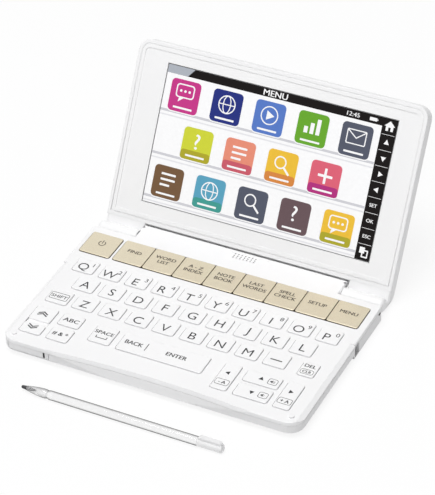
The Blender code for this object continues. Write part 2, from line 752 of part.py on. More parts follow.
def bay_mouth():
    """The notch in the right side where the stylus goes in."""
    low = (INNER_HALF_WIDTH - CUT_OVERRUN, BAY_FRONT_Y, BAY_FLOOR)
    high = (HALF_WIDTH + CUT_OVERRUN, BAY_BACK_Y, DECK_RIM_BOTTOM + BAY_MOUTH_RISE)
    return boxes("bay_mouth", (low, high))


def bottom_outer():
    """The bottom's outer form: the front part stands higher off the table than the rear part."""
    join_y = RISE_Y + CUT_OVERRUN
    front = rounded(
        [
            (-HALF_WIDTH, FRONT_Y, FRONT_CORNER_RADIUS),
            (HALF_WIDTH, FRONT_Y, FRONT_CORNER_RADIUS),
            (HALF_WIDTH, join_y, 0),
            (-HALF_WIDTH, join_y, 0),
        ]
    )
    rear_mesh = prism_mesh("base_bottom_case", [case_outline(RISE_Y, 0)], 0, SEAM_HEIGHT)
    front_mesh = prism_mesh("bottom_front", [front], FRONT_RISE, SEAM_HEIGHT)
    round_loop(rear_mesh, 0, CASE_BOTTOM_ROUNDING, 2)
    round_loop(front_mesh, FRONT_RISE, CASE_BOTTOM_ROUNDING, 2)
    return rear_mesh, helper("bottom_front", front_mesh)


def make_bottom_case(scoop):
    rear_mesh, front = bottom_outer()
    case = place("base_bottom_case", rear_mesh, white_plastic())
    join(case, front)
    top = SEAM_HEIGHT + CUT_OVERRUN
    front_pocket = (
        (-INNER_HALF_WIDTH, INNER_FRONT_Y, FRONT_FLOOR_TOP),
        (INNER_HALF_WIDTH, RISE_Y + CUT_OVERRUN + BAY_WALL, top),
    )
    cut(case, boxes("front_pocket", front_pocket))
    cut(case, prism("rear_pocket", [pocket_outline(RISE_Y + BAY_WALL)], FLOOR, top))
    block = (
        (BAY_INNER_X - BAY_WALL, RISE_Y + JOIN_OVERLAP, FLOOR - JOIN_OVERLAP),
        (INNER_HALF_WIDTH + JOIN_OVERLAP, BAY_BACK_Y + BAY_WALL, BAY_BLOCK_TOP),
    )
    join(case, boxes("bay_block", block))
    channel = (
        (BAY_INNER_X, BAY_FRONT_Y, BAY_FLOOR),
        (INNER_HALF_WIDTH, BAY_BACK_Y, BAY_FLOOR + BAY_HEIGHT),
    )
    cut(case, boxes("bay_channel", channel), bay_mouth())
    cut(case, scoop, cover_opening(), strap_hole())
    join_hinge_seats(case)
    join_posts_and_ribs(case)
    return case


def join_hinge_seats(case):
    """Ears under the bridge's ends, the trunnion on the left and the shaft's bore on the right."""
    outer = BRIDGE_INNER_HALF - FIT
    inner = outer - EAR_THICKNESS
    top = SKIN_UNDERSIDE - FIT
    ears = [
        ((-outer, -EAR_DEPTH / 2, FLOOR - JOIN_OVERLAP), (-inner, EAR_DEPTH / 2, top)),
        ((inner, -EAR_DEPTH / 2, FLOOR - JOIN_OVERLAP), (outer, EAR_DEPTH / 2, top)),
    ]
    join(case, boxes("hinge_ears", *ears))
    far = BRIDGE_WIDTH / 2 + TRUNNION_LENGTH
    start = inner + EAR_THICKNESS / 2
    middle = (-(start + far) / 2, 0, HINGE_HEIGHT)
    join(case, cylinders("trunnion", [middle], TRUNNION_RADIUS, far - start, "X", ROUND_SIDES))
    middle = (-(inner + far) / 2, 0, HINGE_HEIGHT)
    length = far - inner + 2 * CUT_OVERRUN
    bore = cylinders("trunnion_bore", [middle], TRUNNION_BORE_RADIUS, length, "X", SMALL_ROUND_SIDES)
    edge = BRIDGE_WIDTH / 2
    middle = ((inner + edge) / 2, 0, HINGE_HEIGHT)
    length = edge - inner + 2 * CUT_OVERRUN
    cut(case, bore, cylinders("shaft_bore", [middle], SHAFT_RADIUS + FIT, length, "X", ROUND_SIDES))


def join_posts_and_ribs(case):
    for index, (x, y) in enumerate(post_places()):
        low = floor_top(y) - JOIN_OVERLAP
        middle, length = upright(x, y, low, SKIN_UNDERSIDE - DECK_POST_LENGTH - FIT)
        name = f"case_post_{index + 1}"
        join(case, cylinders(name, [middle], POST_RADIUS, length, sides=SMALL_ROUND_SIDES))
    holes = [upright(x, y, -CUT_OVERRUN, SEAM_HEIGHT)[0] for x, y in post_places()]
    length = SEAM_HEIGHT + CUT_OVERRUN
    cut(case, cylinders("screw_holes", holes, SCREW_HOLE_RADIUS, length, sides=PAD_SIDES))
    x = HALF_WIDTH - FOOT_FROM_SIDE
    y = FRONT_Y + FOOT_FROM_FRONT
    feet = [upright(side * x, y, 0, FRONT_RISE + JOIN_OVERLAP) for side in (-1, 1)]
    join(case, cylinders("front_feet", [middle for middle, _ in feet], FOOT_RADIUS, feet[0][1]))
    ribs = []
    for side in (-1, 0, 1):
        x = side * FLOOR_RIB_SPACING
        y = FRONT_Y + FRONT_WALL + FLOOR_RIB_FROM_FRONT
        low = (x - FLOOR_RIB_WIDTH / 2, y, FRONT_FLOOR_TOP - JOIN_OVERLAP)
        ribs.append((low, (x + FLOOR_RIB_WIDTH / 2, y + FLOOR_RIB_LENGTH, BOARD_BOTTOM - FIT)))
    join(case, boxes("floor_ribs", *ribs))


def strap_hole():
    """A small hole through the right wall for a hand strap."""
    back = REAR_Y - STRAP_HOLE_FROM_REAR
    top = SEAM_HEIGHT - STRAP_HOLE_BELOW_SEAM
    low = (INNER_HALF_WIDTH - CUT_OVERRUN, back - STRAP_HOLE_LENGTH, top - STRAP_HOLE_HEIGHT)
    return boxes("strap_hole", (low, (HALF_WIDTH + CUT_OVERRUN, back, top)))


def cover_edges():
    left = -HALF_WIDTH + COVER_LEFT_FROM_SIDE
    return left, left + COVER_WIDTH


def cover_opening():
    """The card slot: an opening through the front wall that the deck's rim closes above."""
    left, right = cover_edges()
    low = (left, FRONT_Y - CUT_OVERRUN, FRONT_RISE + COVER_BOTTOM_WALL)
    return boxes("card_slot", (low, (right, INNER_FRONT_Y + CUT_OVERRUN, SEAM_HEIGHT + CUT_OVERRUN)))


def make_card_cover(scoop):
    """The cover follows the case's outline, and a tab on its back guides it in the slot."""
    left, right = cover_edges()
    bottom = FRONT_RISE + COVER_BOTTOM_WALL + FIT
    mesh = prism_mesh("card_cover", [case_outline()], bottom, SEAM_HEIGHT)
    cover = place("card_cover", mesh, white_plastic())
    low = (left + FIT, FRONT_Y - CUT_OVERRUN, bottom - CUT_OVERRUN)
    bound = boxes("cover_bound", (low, (right - FIT, INNER_FRONT_Y, SEAM_HEIGHT + CUT_OVERRUN)))
    boolean(cover, bound, "INTERSECT")
    middle = (left + right) / 2
    tab = (
        (middle - COVER_TAB_WIDTH / 2, INNER_FRONT_Y - JOIN_OVERLAP, bottom + FIT),
        (middle + COVER_TAB_WIDTH / 2, INNER_FRONT_Y + COVER_TAB_LENGTH, bottom + FIT + COVER_TAB_HEIGHT),
    )
    join(cover, boxes("cover_tab", tab))
    nick_right = right - FIT - NICK_FROM_END
    nick = (
        (nick_right - NICK_WIDTH, FRONT_Y - CUT_OVERRUN, SEAM_HEIGHT - NICK_HEIGHT),
        (nick_right, FRONT_Y + NICK_DEPTH, SEAM_HEIGHT + CUT_OVERRUN),
    )
    cut(cover, scoop, boxes("nail_nick", nick))
    move_origin(cover, (middle, INNER_FRONT_Y, bottom))
    return cover


def board_outline(side_margin, end_margin):
    """A sheet that fills the case, less the card slot's corner and the stylus bay, open to the right."""
    x = HALF_WIDTH - side_margin
    slot_right = cover_edges()[1] + FIT
    slot_back = INNER_FRONT_Y + COVER_TAB_LENGTH + FIT
    bay_front = RISE_Y - FIT
    bay_back = BAY_BACK_Y + BAY_WALL + FIT
    bay_left = BAY_INNER_X - BAY_WALL - FIT
    front = INNER_FRONT_Y + end_margin
    back = INNER_REAR_Y - end_margin
    return [
        (-x, slot_back),
        (slot_right, slot_back),
        (slot_right, front),
        (x, front),
        (x, bay_front),
        (bay_left, bay_front),
        (bay_left, bay_back),
        (x, bay_back),
        (x, back),
        (-x, back),
    ]


def make_key_mat():
    """One rubber sheet, which also roofs the stylus bay, with a pad under each key."""
    x = HALF_WIDTH - MAT_SIDE_MARGIN
    sheet = rectangle(-x, x, INNER_FRONT_Y + MAT_END_MARGIN, INNER_REAR_Y - MAT_END_MARGIN)
    mesh = prism_mesh("key_mat", [sheet], MAT_BOTTOM, MAT_TOP)
    mat = place("key_mat", mesh, material("mat_rubber", (0.45, 0.45, 0.47), 0.8))
    middles = []
    for left, right, front, back in {**flanged_keys(), **gold_keys()}.values():
        x, y = (left + right) / 2, (front + back) / 2
        spread_x = (right - left) / 2 * TWO_PAD_SHARE if right - left > 2 * COLUMN_PITCH else 0
        spread_y = (back - front) / 2 * TWO_PAD_SHARE if back - front > ROW_PITCH * 1.5 else 0
        ends = (-1, 1) if spread_x or spread_y else (0,)
        middles += [(x + end * spread_x, y + end * spread_y) for end in ends]
    middle_z = (MAT_TOP - MAT_THICKNESS / 2 + PAD_TOP) / 2
    length = PAD_TOP - MAT_TOP + MAT_THICKNESS / 2
    pads = cylinders("pads", [(x, y, middle_z) for x, y in middles], PAD_RADIUS, length, sides=PAD_SIDES)
    join(mat, pads)
    return mat


def make_circuit_board():
    outline = board_outline(MAT_SIDE_MARGIN, MAT_END_MARGIN)
    mesh = prism_mesh("circuit_board", [outline], BOARD_BOTTOM, BOARD_TOP)
    board = place("circuit_board", mesh, material("board_green", (0.05, 0.22, 0.10), 0.5))
    chips = []
    for x, size in ((MAIN_CHIP_X, MAIN_CHIP_SIZE), (MEMORY_CHIP_X, MEMORY_CHIP_SIZE)):
        y = FRONT_Y + CHIP_FROM_FRONT
        low = (x - size / 2, y - size / 2, BOARD_BOTTOM - CHIP_THICKNESS)
        chips.append((low, (x + size / 2, y + size / 2, BOARD_BOTTOM + JOIN_OVERLAP)))
    join(board, boxes("chips", *chips))
    return board


def make_battery():
    """A flat pack on the rear floor, between the stylus bay and the rear wall."""
    half = BATTERY_WIDTH / 2
    front = BAY_BACK_Y + BAY_WALL + FIT
    outline = rectangle(-half, half, front, INNER_REAR_Y - FIT, BATTERY_CORNER_RADIUS, CORNER_STEPS)
    top = BOARD_BOTTOM - FIT
    mesh = prism_mesh("battery_pack", [outline], FLOOR + FIT, top)
    round_loop(mesh, top, BATTERY_EDGE_ROUNDING, 2)
    return place("battery_pack", mesh, material("battery_wrap", (0.35, 0.36, 0.40), 0.4))


def make_speaker():
    """A flat oval loudspeaker just under the deck, with a raised ring round its cone."""
    top = SKIN_UNDERSIDE - FIT
    back = BRIDGE_INNER_Y - FIT
    front = back - SPEAKER_WIDTH
    half = SPEAKER_LENGTH / 2
    radius = SPEAKER_WIDTH / 2 - SPEAKER_RING / 4
    outline = rectangle(SPEAKER_X - half, SPEAKER_X + half, front, back, radius, CORNER_STEPS)
    mesh = prism_mesh("speaker", [outline], top - SPEAKER_HEIGHT, top)
    speaker = place("speaker", mesh, material("speaker_black", (0.03, 0.03, 0.03), 0.6))
    ring = SPEAKER_RING
    left, right = SPEAKER_X - half + ring, SPEAKER_X + half - ring
    inside = rectangle(left, right, front + ring, back - ring, radius - ring, CORNER_STEPS)
    cut(speaker, prism("speaker_cone", [inside], top - SPEAKER_RING_HEIGHT, top + CUT_OVERRUN))
    return speaker


def make_hinge_shaft():
    """A turned steel pin with chamfered ends, through the right ear into the lid's right leg."""
    profile = [
        (0, -SHAFT_LENGTH / 2),
        (SHAFT_RADIUS - SHAFT_CHAMFER, -SHAFT_LENGTH / 2),
        (SHAFT_RADIUS, -SHAFT_LENGTH / 2 + SHAFT_CHAMFER),
        (SHAFT_RADIUS, SHAFT_LENGTH / 2 - SHAFT_CHAMFER),
        (SHAFT_RADIUS - SHAFT_CHAMFER, SHAFT_LENGTH / 2),
        (0, SHAFT_LENGTH / 2),
    ]
    mesh = turned("hinge_shaft", profile, SMALL_ROUND_SIDES)
    shaft = place("hinge_shaft", mesh, material("shaft_steel", (0.6, 0.6, 0.62), 0.3, 1.0))
    middle = BRIDGE_WIDTH / 2 + TRUNNION_LENGTH - SHAFT_LENGTH / 2
    shaft.location = (middle, 0, HINGE_HEIGHT)
    return shaft


def turned(name, profile, steps):
    """A turned solid along X, from (radius, place along the axis) points with both ends on the axis."""
    body = bmesh.new()
    verts = [body.verts.new((along, 0, radius)) for radius, along in profile]
    edges = [body.edges.new(pair) for pair in zip(verts, verts[1:])]
    bmesh.ops.spin(
        body,
        geom=verts + edges,
        axis=(1, 0, 0),
        cent=(0, 0, 0),
        angle=2 * math.pi,
        steps=steps,
        use_merge=True,
    )
    return finish_mesh(body, name)


def make_stylus():
    """A clear round barrel with a cone, a groove and a raised rib, and a thin dark nib."""
    tip = -STYLUS_LENGTH / 2
    end = STYLUS_LENGTH / 2
    shoulder = tip + STYLUS_CONE
    groove = tip + STYLUS_GROOVE_FROM_TIP
    waist = STYLUS_RADIUS - STYLUS_GROOVE_DEPTH
    bore = NIB_STEM_RADIUS + FIT
    start = tip + NIB_LENGTH
    profile = [
        (0, start + NIB_STEM_LENGTH + FIT),
        (bore, start + NIB_STEM_LENGTH + FIT),
        (bore, start),
        (STYLUS_TIP_RADIUS, start),
        (STYLUS_RADIUS, shoulder),
        (STYLUS_RADIUS, groove),
        (waist, groove + STYLUS_GROOVE_WIDTH / 4),
        (waist, groove + STYLUS_GROOVE_WIDTH),
        (STYLUS_RADIUS, groove + STYLUS_GROOVE_WIDTH * 5 / 4),
        (STYLUS_RADIUS, end - STYLUS_END_ROUNDING),
        (STYLUS_RADIUS - STYLUS_END_ROUNDING * 0.3, end - STYLUS_END_ROUNDING * 0.3),
        (STYLUS_RADIUS - STYLUS_END_ROUNDING, end),
        (0, end),
    ]
    barrel = place(
        "stylus_barrel",
        turned("stylus_barrel", profile, STYLUS_STEPS),
        material("clear_plastic", (0.9, 0.92, 0.93), 0.08, 0.0, 0.9),
    )
    low = (end - STYLUS_RIB_LENGTH, -STYLUS_RIB_WIDTH / 2, 0)
    high = (end - STYLUS_END_ROUNDING, STYLUS_RIB_WIDTH / 2, STYLUS_RADIUS + STYLUS_RIB_PROUD)
    rib = boxes("stylus_rib", (low, high))
    join(barrel, rib)
    nib_profile = [
        (0, tip),
        (NIB_RADIUS * 0.6, tip + NIB_RADIUS * 0.2),
        (NIB_RADIUS, tip + NIB_RADIUS),
        (NIB_RADIUS, start - FIT),
        (NIB_STEM_RADIUS, start - FIT),
        (NIB_STEM_RADIUS, start + NIB_STEM_LENGTH),
        (0, start + NIB_STEM_LENGTH),
    ]
    nib = place(
        "stylus_nib",
        turned("stylus_nib", nib_profile, PAD_SIDES),
        material("nib_dark", (0.03, 0.03, 0.035), 0.5),
    )
    carrier = bpy.data.objects.new("stylus_place", None)
    parts.objects.link(carrier)
    carrier.location = (STYLUS_X, FRONT_Y - STYLUS_IN_FRONT, STYLUS_RADIUS)
    carrier.rotation_euler.z = STYLUS_YAW
    for piece in (barrel, nib, rib):
        piece.parent = carrier


def lid_outline(half, bottom, top, radius):
    """A lid piece seen with the lid closed: its bottom edge is by the hinge, its tip towards the front."""
    return rounded([(-half, -top, radius), (half, -top, radius), (half, -bottom, 0), (-half, -bottom, 0)])


def leg_outline():
    """A lid leg from the side: the knuckle, the inner corner over the deck, and the rounded heel."""
    face = LID_FACE + LEG_INSET
    outside = LID_OUTSIDE - LEG_INSET
    heel = (HEEL_FROM_AXIS, outside - HEEL_RADIUS)
    tangent = math.atan2(heel[1], heel[0]) + math.pi / 2
    tangent += math.asin((HEEL_RADIUS - KNUCKLE_RADIUS) / math.hypot(*heel))
    inside = LID_CUTOUT + LID_EDGE_ROUNDING
    outline = arc((0, 0), KNUCKLE_RADIUS, tangent, 2 * math.pi + KNUCKLE_WRAP, KNUCKLE_STEPS)
    outline += [(KNUCKLE_RADIUS * math.cos(KNUCKLE_WRAP), face), (inside, face), (inside, outside)]
    outline += arc(heel, HEEL_RADIUS, math.pi / 2, tangent, HEEL_STEPS)[:-1]
    return [(-a, b) for a, b in outline]


def lid_leg(side):
    """A leg whose outer end is rounded like the lid's back and lies just inside the lid's side."""
    name = "leg_right" if side > 0 else "leg_left"
    inner = side * LID_LEG_INNER
    outer = side * (LID_HALF - LEG_INSET)
    roundings = ((inner, KNUCKLE_ROUNDING, 2), (outer, LID_EDGE_ROUNDING, LID_ROUNDING_STEPS))
    low, high = sorted((inner, outer))
    return prism_along_x(name, leg_outline(), low, high, roundings)


def lid_skirt():
    """The lip of the lid's back that hangs behind the bridge, between the legs."""
    outside = LID_OUTSIDE - 2 * LEG_INSET
    inside = LID_CUTOUT + LID_EDGE_ROUNDING
    radius = SKIRT_THICKNESS / 2
    end = (SKIRT_FROM_AXIS + radius, outside - radius)
    outline = [(inside, outside - SKIRT_THICKNESS), (inside, outside)]
    outline += arc(end, radius, math.pi / 2, 3 * math.pi / 2, SKIRT_STEPS)
    half = LID_LEG_INNER + JOIN_OVERLAP
    return prism_along_x("lid_skirt", [(-a, b) for a, b in outline], -half, half)


def make_back_cover(lid):
    """The lid's outer shell: a shallow tray with a rim round the bezel, a leg at each side and a skirt."""
    outline = lid_outline(LID_HALF, LID_CUTOUT, LID_REACH, LID_TIP_RADIUS)
    mesh = prism_mesh("lid_back_cover", [outline], LID_FACE, LID_OUTSIDE)
    round_loop(mesh, LID_OUTSIDE, LID_EDGE_ROUNDING, LID_ROUNDING_STEPS)
    round_loop(mesh, LID_FACE, LID_RIM_ROUNDING, 1)
    cover = place("lid_back_cover", mesh, white_plastic())
    radius = LID_TIP_RADIUS - LID_RIM
    pocket = lid_outline(LID_HALF - LID_RIM, BEZEL_BOTTOM - FIT, LID_REACH - LID_RIM, radius)
    legs = [lid_leg(-1), lid_leg(1)]
    tray = prism("lid_pocket", [pocket], LID_FACE - CUT_OVERRUN, LID_FLOOR)
    far = BRIDGE_WIDTH / 2 + TRUNNION_LENGTH + FIT
    near = LID_LEG_INNER - CUT_OVERRUN
    middle = (near + far) / 2
    depth = far - near
    left = cylinders("trunnion_socket", [(-middle, 0, 0)], TRUNNION_RADIUS + FIT, depth, "X", ROUND_SIDES)
    right = cylinders("shaft_socket", [(middle, 0, 0)], SHAFT_RADIUS + FIT, depth, "X", SMALL_ROUND_SIDES)
    ribs = []
    for side in (-1, 1):
        x = side * LID_RIB_SPACING / 2
        back = -(WINDOW_BOTTOM + WINDOW_TOP - LID_RIB_LENGTH) / 2
        low = (x - LID_RIB_WIDTH / 2, back - LID_RIB_LENGTH, SCREEN_BACK + FIT)
        ribs.append((low, (x + LID_RIB_WIDTH / 2, back, LID_FLOOR + JOIN_OVERLAP)))
    floor_ribs = boxes("lid_ribs", *ribs)
    skirt = lid_skirt()
    join(cover, skirt, *legs)
    cut(cover, tray, left, right)
    join(cover, floor_ribs)
    for piece in (cover, tray, left, right, floor_ribs, skirt, *legs):
        piece.parent = lid
    return cover


def make_bezel(lid):
    """The frame round the screen: a skin with a skirt that stands on the back cover's floor."""
    radius = LID_TIP_RADIUS - LID_RIM - FIT
    outline = lid_outline(BEZEL_HALF, BEZEL_BOTTOM, BEZEL_TOP, radius)
    window = rectangle(WINDOW_LEFT, WINDOW_RIGHT, -WINDOW_TOP, -WINDOW_BOTTOM)
    mesh = prism_mesh("lid_front_bezel", [outline], LID_FACE, LID_FLOOR - FIT)
    round_loop(mesh, LID_FACE, BEZEL_EDGE_ROUNDING, 1)
    bezel = place("lid_front_bezel", mesh, white_plastic())
    skirt = BEZEL_SKIRT
    room = lid_outline(BEZEL_HALF - skirt, BEZEL_BOTTOM + skirt, BEZEL_TOP - skirt, radius - skirt)
    border = BEZEL_BORDER
    step = lid_outline(BEZEL_HALF - border, BEZEL_BOTTOM + border, BEZEL_TOP - border, radius - border)
    hollow = prism("bezel_room", [room], LID_FACE + BEZEL_SKIN, LID_FLOOR + CUT_OVERRUN)
    low = prism("bezel_step", [step], LID_FACE - CUT_OVERRUN, LID_FACE + BEZEL_STEP)
    hole = prism("screen_window", [window], LID_FACE - CUT_OVERRUN, LID_FACE + BEZEL_SKIN + CUT_OVERRUN)
    cut(bezel, hollow, low, hole)
    for piece in (bezel, hollow, low, hole):
        piece.parent = lid
    return bezel


def make_display(lid):
    """The screen: its face stands in the window, and its wider body lies behind the bezel."""
    margin = SCREEN_MARGIN
    front, back = -WINDOW_TOP - margin / 2, -WINDOW_BOTTOM + margin / 2
    body = rectangle(WINDOW_LEFT - margin, WINDOW_RIGHT + margin, front, back)
    mesh = prism_mesh("display_panel", [body], SCREEN_FRONT, SCREEN_BACK)
    panel = place("display_panel", mesh, material("screen_glass", (0.75, 0.77, 0.80), 0.15))
    face = rectangle(WINDOW_LEFT + FIT, WINDOW_RIGHT - FIT, -WINDOW_TOP + FIT, -WINDOW_BOTTOM - FIT)
    raised = prism("screen_face", [face], SCREEN_FACE, SCREEN_FRONT + JOIN_OVERLAP)
    join(panel, raised)
    for piece in (panel, raised):
        piece.parent = lid
    return panel


def make_lid():
    lid = bpy.data.objects.new("lid_hinge", None)
    parts.objects.link(lid)
    lid.location = (0, 0, HINGE_HEIGHT)
    make_back_cover(lid)
    make_bezel(lid)
    make_display(lid)
    lid.rotation_euler.x = -LID_OPEN_ANGLE


def main():
    global parts, cutters
    clear_scene()
    parts = new_collection("electronic_dictionary")
    cutters = new_collection("cutters")
    scoop = scoop_cutter()
    make_deck(scoop)
    make_bottom_case(scoop)
    make_card_cover(scoop)
    make_keys()
    make_key_mat()
    make_circuit_board()
    make_battery()
    make_speaker()
    make_hinge_shaft()
    make_lid()
    make_stylus()


main()
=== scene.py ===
"""Dresses the electronic dictionary: plastic, paint, legends, the lit screen, the stylus and the studio."""

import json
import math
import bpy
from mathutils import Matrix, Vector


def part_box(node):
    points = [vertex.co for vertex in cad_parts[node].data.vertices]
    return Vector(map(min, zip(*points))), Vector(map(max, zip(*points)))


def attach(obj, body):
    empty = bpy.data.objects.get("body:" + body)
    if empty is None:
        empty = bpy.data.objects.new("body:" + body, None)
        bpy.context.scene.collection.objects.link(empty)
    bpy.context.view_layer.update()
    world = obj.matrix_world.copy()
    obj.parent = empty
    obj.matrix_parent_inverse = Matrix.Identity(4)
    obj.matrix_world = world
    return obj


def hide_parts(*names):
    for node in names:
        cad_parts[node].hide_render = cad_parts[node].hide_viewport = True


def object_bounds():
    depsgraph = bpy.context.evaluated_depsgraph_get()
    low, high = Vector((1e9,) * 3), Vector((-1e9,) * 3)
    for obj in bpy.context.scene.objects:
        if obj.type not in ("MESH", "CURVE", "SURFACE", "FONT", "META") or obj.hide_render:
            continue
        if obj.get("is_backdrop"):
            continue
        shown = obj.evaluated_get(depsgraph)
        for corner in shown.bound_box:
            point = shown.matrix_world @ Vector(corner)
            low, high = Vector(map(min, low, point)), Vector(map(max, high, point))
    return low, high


bl_info = {
    "name": "Pocket Dictionary",
    "version": (1, 0, 0),
    "blender": (4, 5, 0),
    "location": "3D View > Sidebar > Dictionary",
    "description": "Finishes, prints and lights a hinged electronic dictionary",
    "category": "Object",
}

import bmesh
import bpy
from bpy.props import FloatProperty, FloatVectorProperty, IntProperty, PointerProperty
from mathutils import Matrix, Vector

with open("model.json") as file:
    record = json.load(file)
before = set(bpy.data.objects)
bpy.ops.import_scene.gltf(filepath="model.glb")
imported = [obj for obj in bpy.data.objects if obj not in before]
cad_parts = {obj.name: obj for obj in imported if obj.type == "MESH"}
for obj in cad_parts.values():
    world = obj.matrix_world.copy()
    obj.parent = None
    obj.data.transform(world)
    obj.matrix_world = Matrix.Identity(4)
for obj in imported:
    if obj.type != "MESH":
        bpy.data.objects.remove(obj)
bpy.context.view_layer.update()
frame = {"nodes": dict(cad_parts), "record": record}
nodes = frame["nodes"]
joints = {joint["name"]: joint for joint in frame["record"]["behaviour"]["joints"]}

MM = 0.001
SMOOTH_ANGLE = math.radians(32)

PRESSED_KEYS = [name.removesuffix("_press") for name in joints if name.endswith("_press")]
ROCKER = "page_scroll_rocker"
GOLD_KEYS = [name for name in PRESSED_KEYS if name.startswith("function_key") or name == "power_key"]
WHITE_KEYS = [name for name in PRESSED_KEYS if name not in GOLD_KEYS] + [ROCKER]

LID_ANGLE = math.radians(-joints["lid_hinge"]["range_deg"][0])
LID_AXIS = Vector(joints["lid_hinge"]["pos_m"])
# The lid's own frame, with Y away from the hinge and Z out of the screen, at its place at rest
LID_PLACE = Matrix.Translation(LID_AXIS) @ Matrix.Rotation(math.pi - LID_ANGLE, 4, "X")


def cad_points(node):
    """The points of a CAD node, in millimetres."""
    return [vert.co / MM for vert in nodes[node].data.vertices]


def lid_points(node):
    """The points of a CAD node in the lid's own frame, in millimetres."""
    into_lid = LID_PLACE.inverted()
    return [into_lid @ vert.co / MM for vert in nodes[node].data.vertices]


def corners_of(points):
    """The lowest and the highest corner of the box round some points."""
    return (Vector([pick(point[i] for point in points) for i in range(3)]) for pick in (min, max))


def add_node(tree, kind, **values):
    """A new shader node, with its settings and the values of its inputs."""
    made = tree.nodes.new(kind)
    for name, value in values.items():
        if hasattr(made, name):
            setattr(made, name, value)
        else:
            made.inputs[name.replace("_", " ")].default_value = value
    return made


def link(source, target):
    source.id_data.links.new(source, target)


def new_material(name, colour, roughness, **values):
    """A material, its shader and its object coordinates."""
    material = bpy.data.materials.new(name)
    material.use_nodes = True
    shader = material.node_tree.nodes["Principled BSDF"]
    shader.inputs["Base Color"].default_value = (*colour, 1)
    shader.inputs["Roughness"].default_value = roughness
    for key, value in values.items():
        shader.inputs[key.replace("_", " ")].default_value = value
    return material, shader, add_node(material.node_tree, "ShaderNodeTexCoord").outputs["Object"]


def noise(place, scale, detail=2.0):
    texture = add_node(place.id_data, "ShaderNodeTexNoise", Scale=scale, Detail=detail)
    link(place, texture.inputs["Vector"])
    return texture.outputs["Fac"]


def tint(shader, factor, first, last, start=0.3, stop=0.7):
    """Colours the shader from one colour to another as a factor goes from start to stop."""
    ramp = add_node(shader.id_data, "ShaderNodeValToRGB")
    for end, position, colour in zip(ramp.color_ramp.elements, (start, stop), (first, last)):
        end.position = position
        end.color = (*colour, 1)
    link(factor, ramp.inputs["Fac"])
    link(ramp.outputs["Color"], shader.inputs["Base Color"])


def roughen(shader, factor, low, high):
    span = add_node(shader.id_data, "ShaderNodeMapRange", To_Min=low, To_Max=high)
    link(factor, span.inputs["Value"])
    link(span.outputs["Result"], shader.inputs["Roughness"])


def emboss(shader, height, depth, edge=0.0):
    """Bump of a real depth, over edges that are softened by a real radius."""
    bump = add_node(shader.id_data, "ShaderNodeBump", Strength=1.0, Distance=depth)
    link(height, bump.inputs["Height"])
    if edge:
        soft = add_node(shader.id_data, "ShaderNodeBevel", Radius=edge)
        link(soft.outputs["Normal"], bump.inputs["Normal"])
    link(bump.outputs["Normal"], shader.inputs["Normal"])


def shade(colour, share):
    return tuple(part * share for part in colour)


def moulded_plastic(name, colour, roughness, grain, edge=0.12 * MM):
    """White moulded plastic: a fine eroded grain, and a tone that drifts a little over the surface."""
    material, shader, place = new_material(name, colour, roughness, Specular_IOR_Level=0.45)
    tint(shader, noise(place, 38.0, 3.0), shade(colour, 0.982), colour)
    roughen(shader, noise(place, 260.0), roughness - 0.05, roughness + 0.06)
    emboss(shader, noise(place, 2600.0, 3.0), grain, edge)
    return material


def champagne_paint(name, colour, flake):
    """Metallic lacquer with fine flakes, over plastic."""
    material, shader, place = new_material(
        name, colour, 0.4, Metallic=0.45, Coat_Weight=0.25, Coat_Roughness=0.2
    )
    tint(shader, noise(place, 1900.0, 4.0), shade(colour, 0.86), colour)
    roughen(shader, noise(place, 1200.0), 0.32, 0.48)
    emboss(shader, noise(place, 2400.0, 4.0), flake, 0.08 * MM)
    return material


def ink(name, colour):
    """Pad-printed ink, a little uneven."""
    material, shader, place = new_material(name, colour, 0.55)
    tint(shader, noise(place, 900.0, 3.0), shade(colour, 0.8), colour)
    return material


def lit_colour(name, colour, glow, gloss=0.25):
    """A colour on the lit screen: part of it is reflected and part of it glows."""
    dull = shade(colour, 1 - glow)
    material, shader, place = new_material(
        name, dull, 0.3, Specular_IOR_Level=gloss, Emission_Color=(*colour, 1), Emission_Strength=glow
    )
    tint(shader, noise(place, 700.0), shade(dull, 0.94), dull)
    return material


def clear_plastic(name, colour, rim, spread, start=0.0, stop=1.0):
    """Clear moulded plastic whose edges are tinted dark by how far they face away: painted shade for the
    dark outlines of a clear rod. Spread is how far the grey reaches inwards; it begins at start and is full
    at stop."""
    material, shader, place = new_material(name, colour, 0.06, Transmission_Weight=1.0, IOR=1.47)
    facing = add_node(material.node_tree, "ShaderNodeLayerWeight", Blend=spread)
    tint(shader, facing.outputs["Facing"], colour, rim, start, stop)
    emboss(shader, noise(place, 300.0), 0.0008 * MM)
    return material


def metal(name, colour, roughness):
    material, shader, place = new_material(name, colour, roughness, Metallic=1.0)
    roughen(shader, noise(place, 800.0), roughness - 0.06, roughness + 0.08)
    emboss(shader, noise(place, 3000.0), 0.002 * MM)
    return material


def soft_dull(name, colour, roughness, scale):
    """Rubber, wrap, board and other dull surfaces."""
    material, shader, place = new_material(name, colour, roughness)
    tint(shader, noise(place, scale, 4.0), shade(colour, 0.82), colour)
    emboss(shader, noise(place, scale * 3), 0.01 * MM)
    return material


def finish_mesh(mesh, material):
    """Gives a mesh its material, and smooth faces between its sharp edges."""
    mesh.materials.clear()
    mesh.materials.append(material)
    mesh.shade_smooth()
    mesh.set_sharp_from_angle(angle=SMOOTH_ANGLE)


def set_finish(node, material):
    """Finishes a CAD node, its normals weighted by the size of its faces so that broad faces look flat."""
    obj = nodes[node]
    finish_mesh(obj.data, material)
    modifier = obj.modifiers.new("even_normals", "WEIGHTED_NORMAL")
    modifier.keep_sharp = True
    evened = obj.evaluated_get(bpy.context.evaluated_depsgraph_get()).data
    normals = [corner.vector.copy() for corner in evened.corner_normals]
    obj.modifiers.remove(modifier)
    obj.data.normals_split_custom_set(normals)


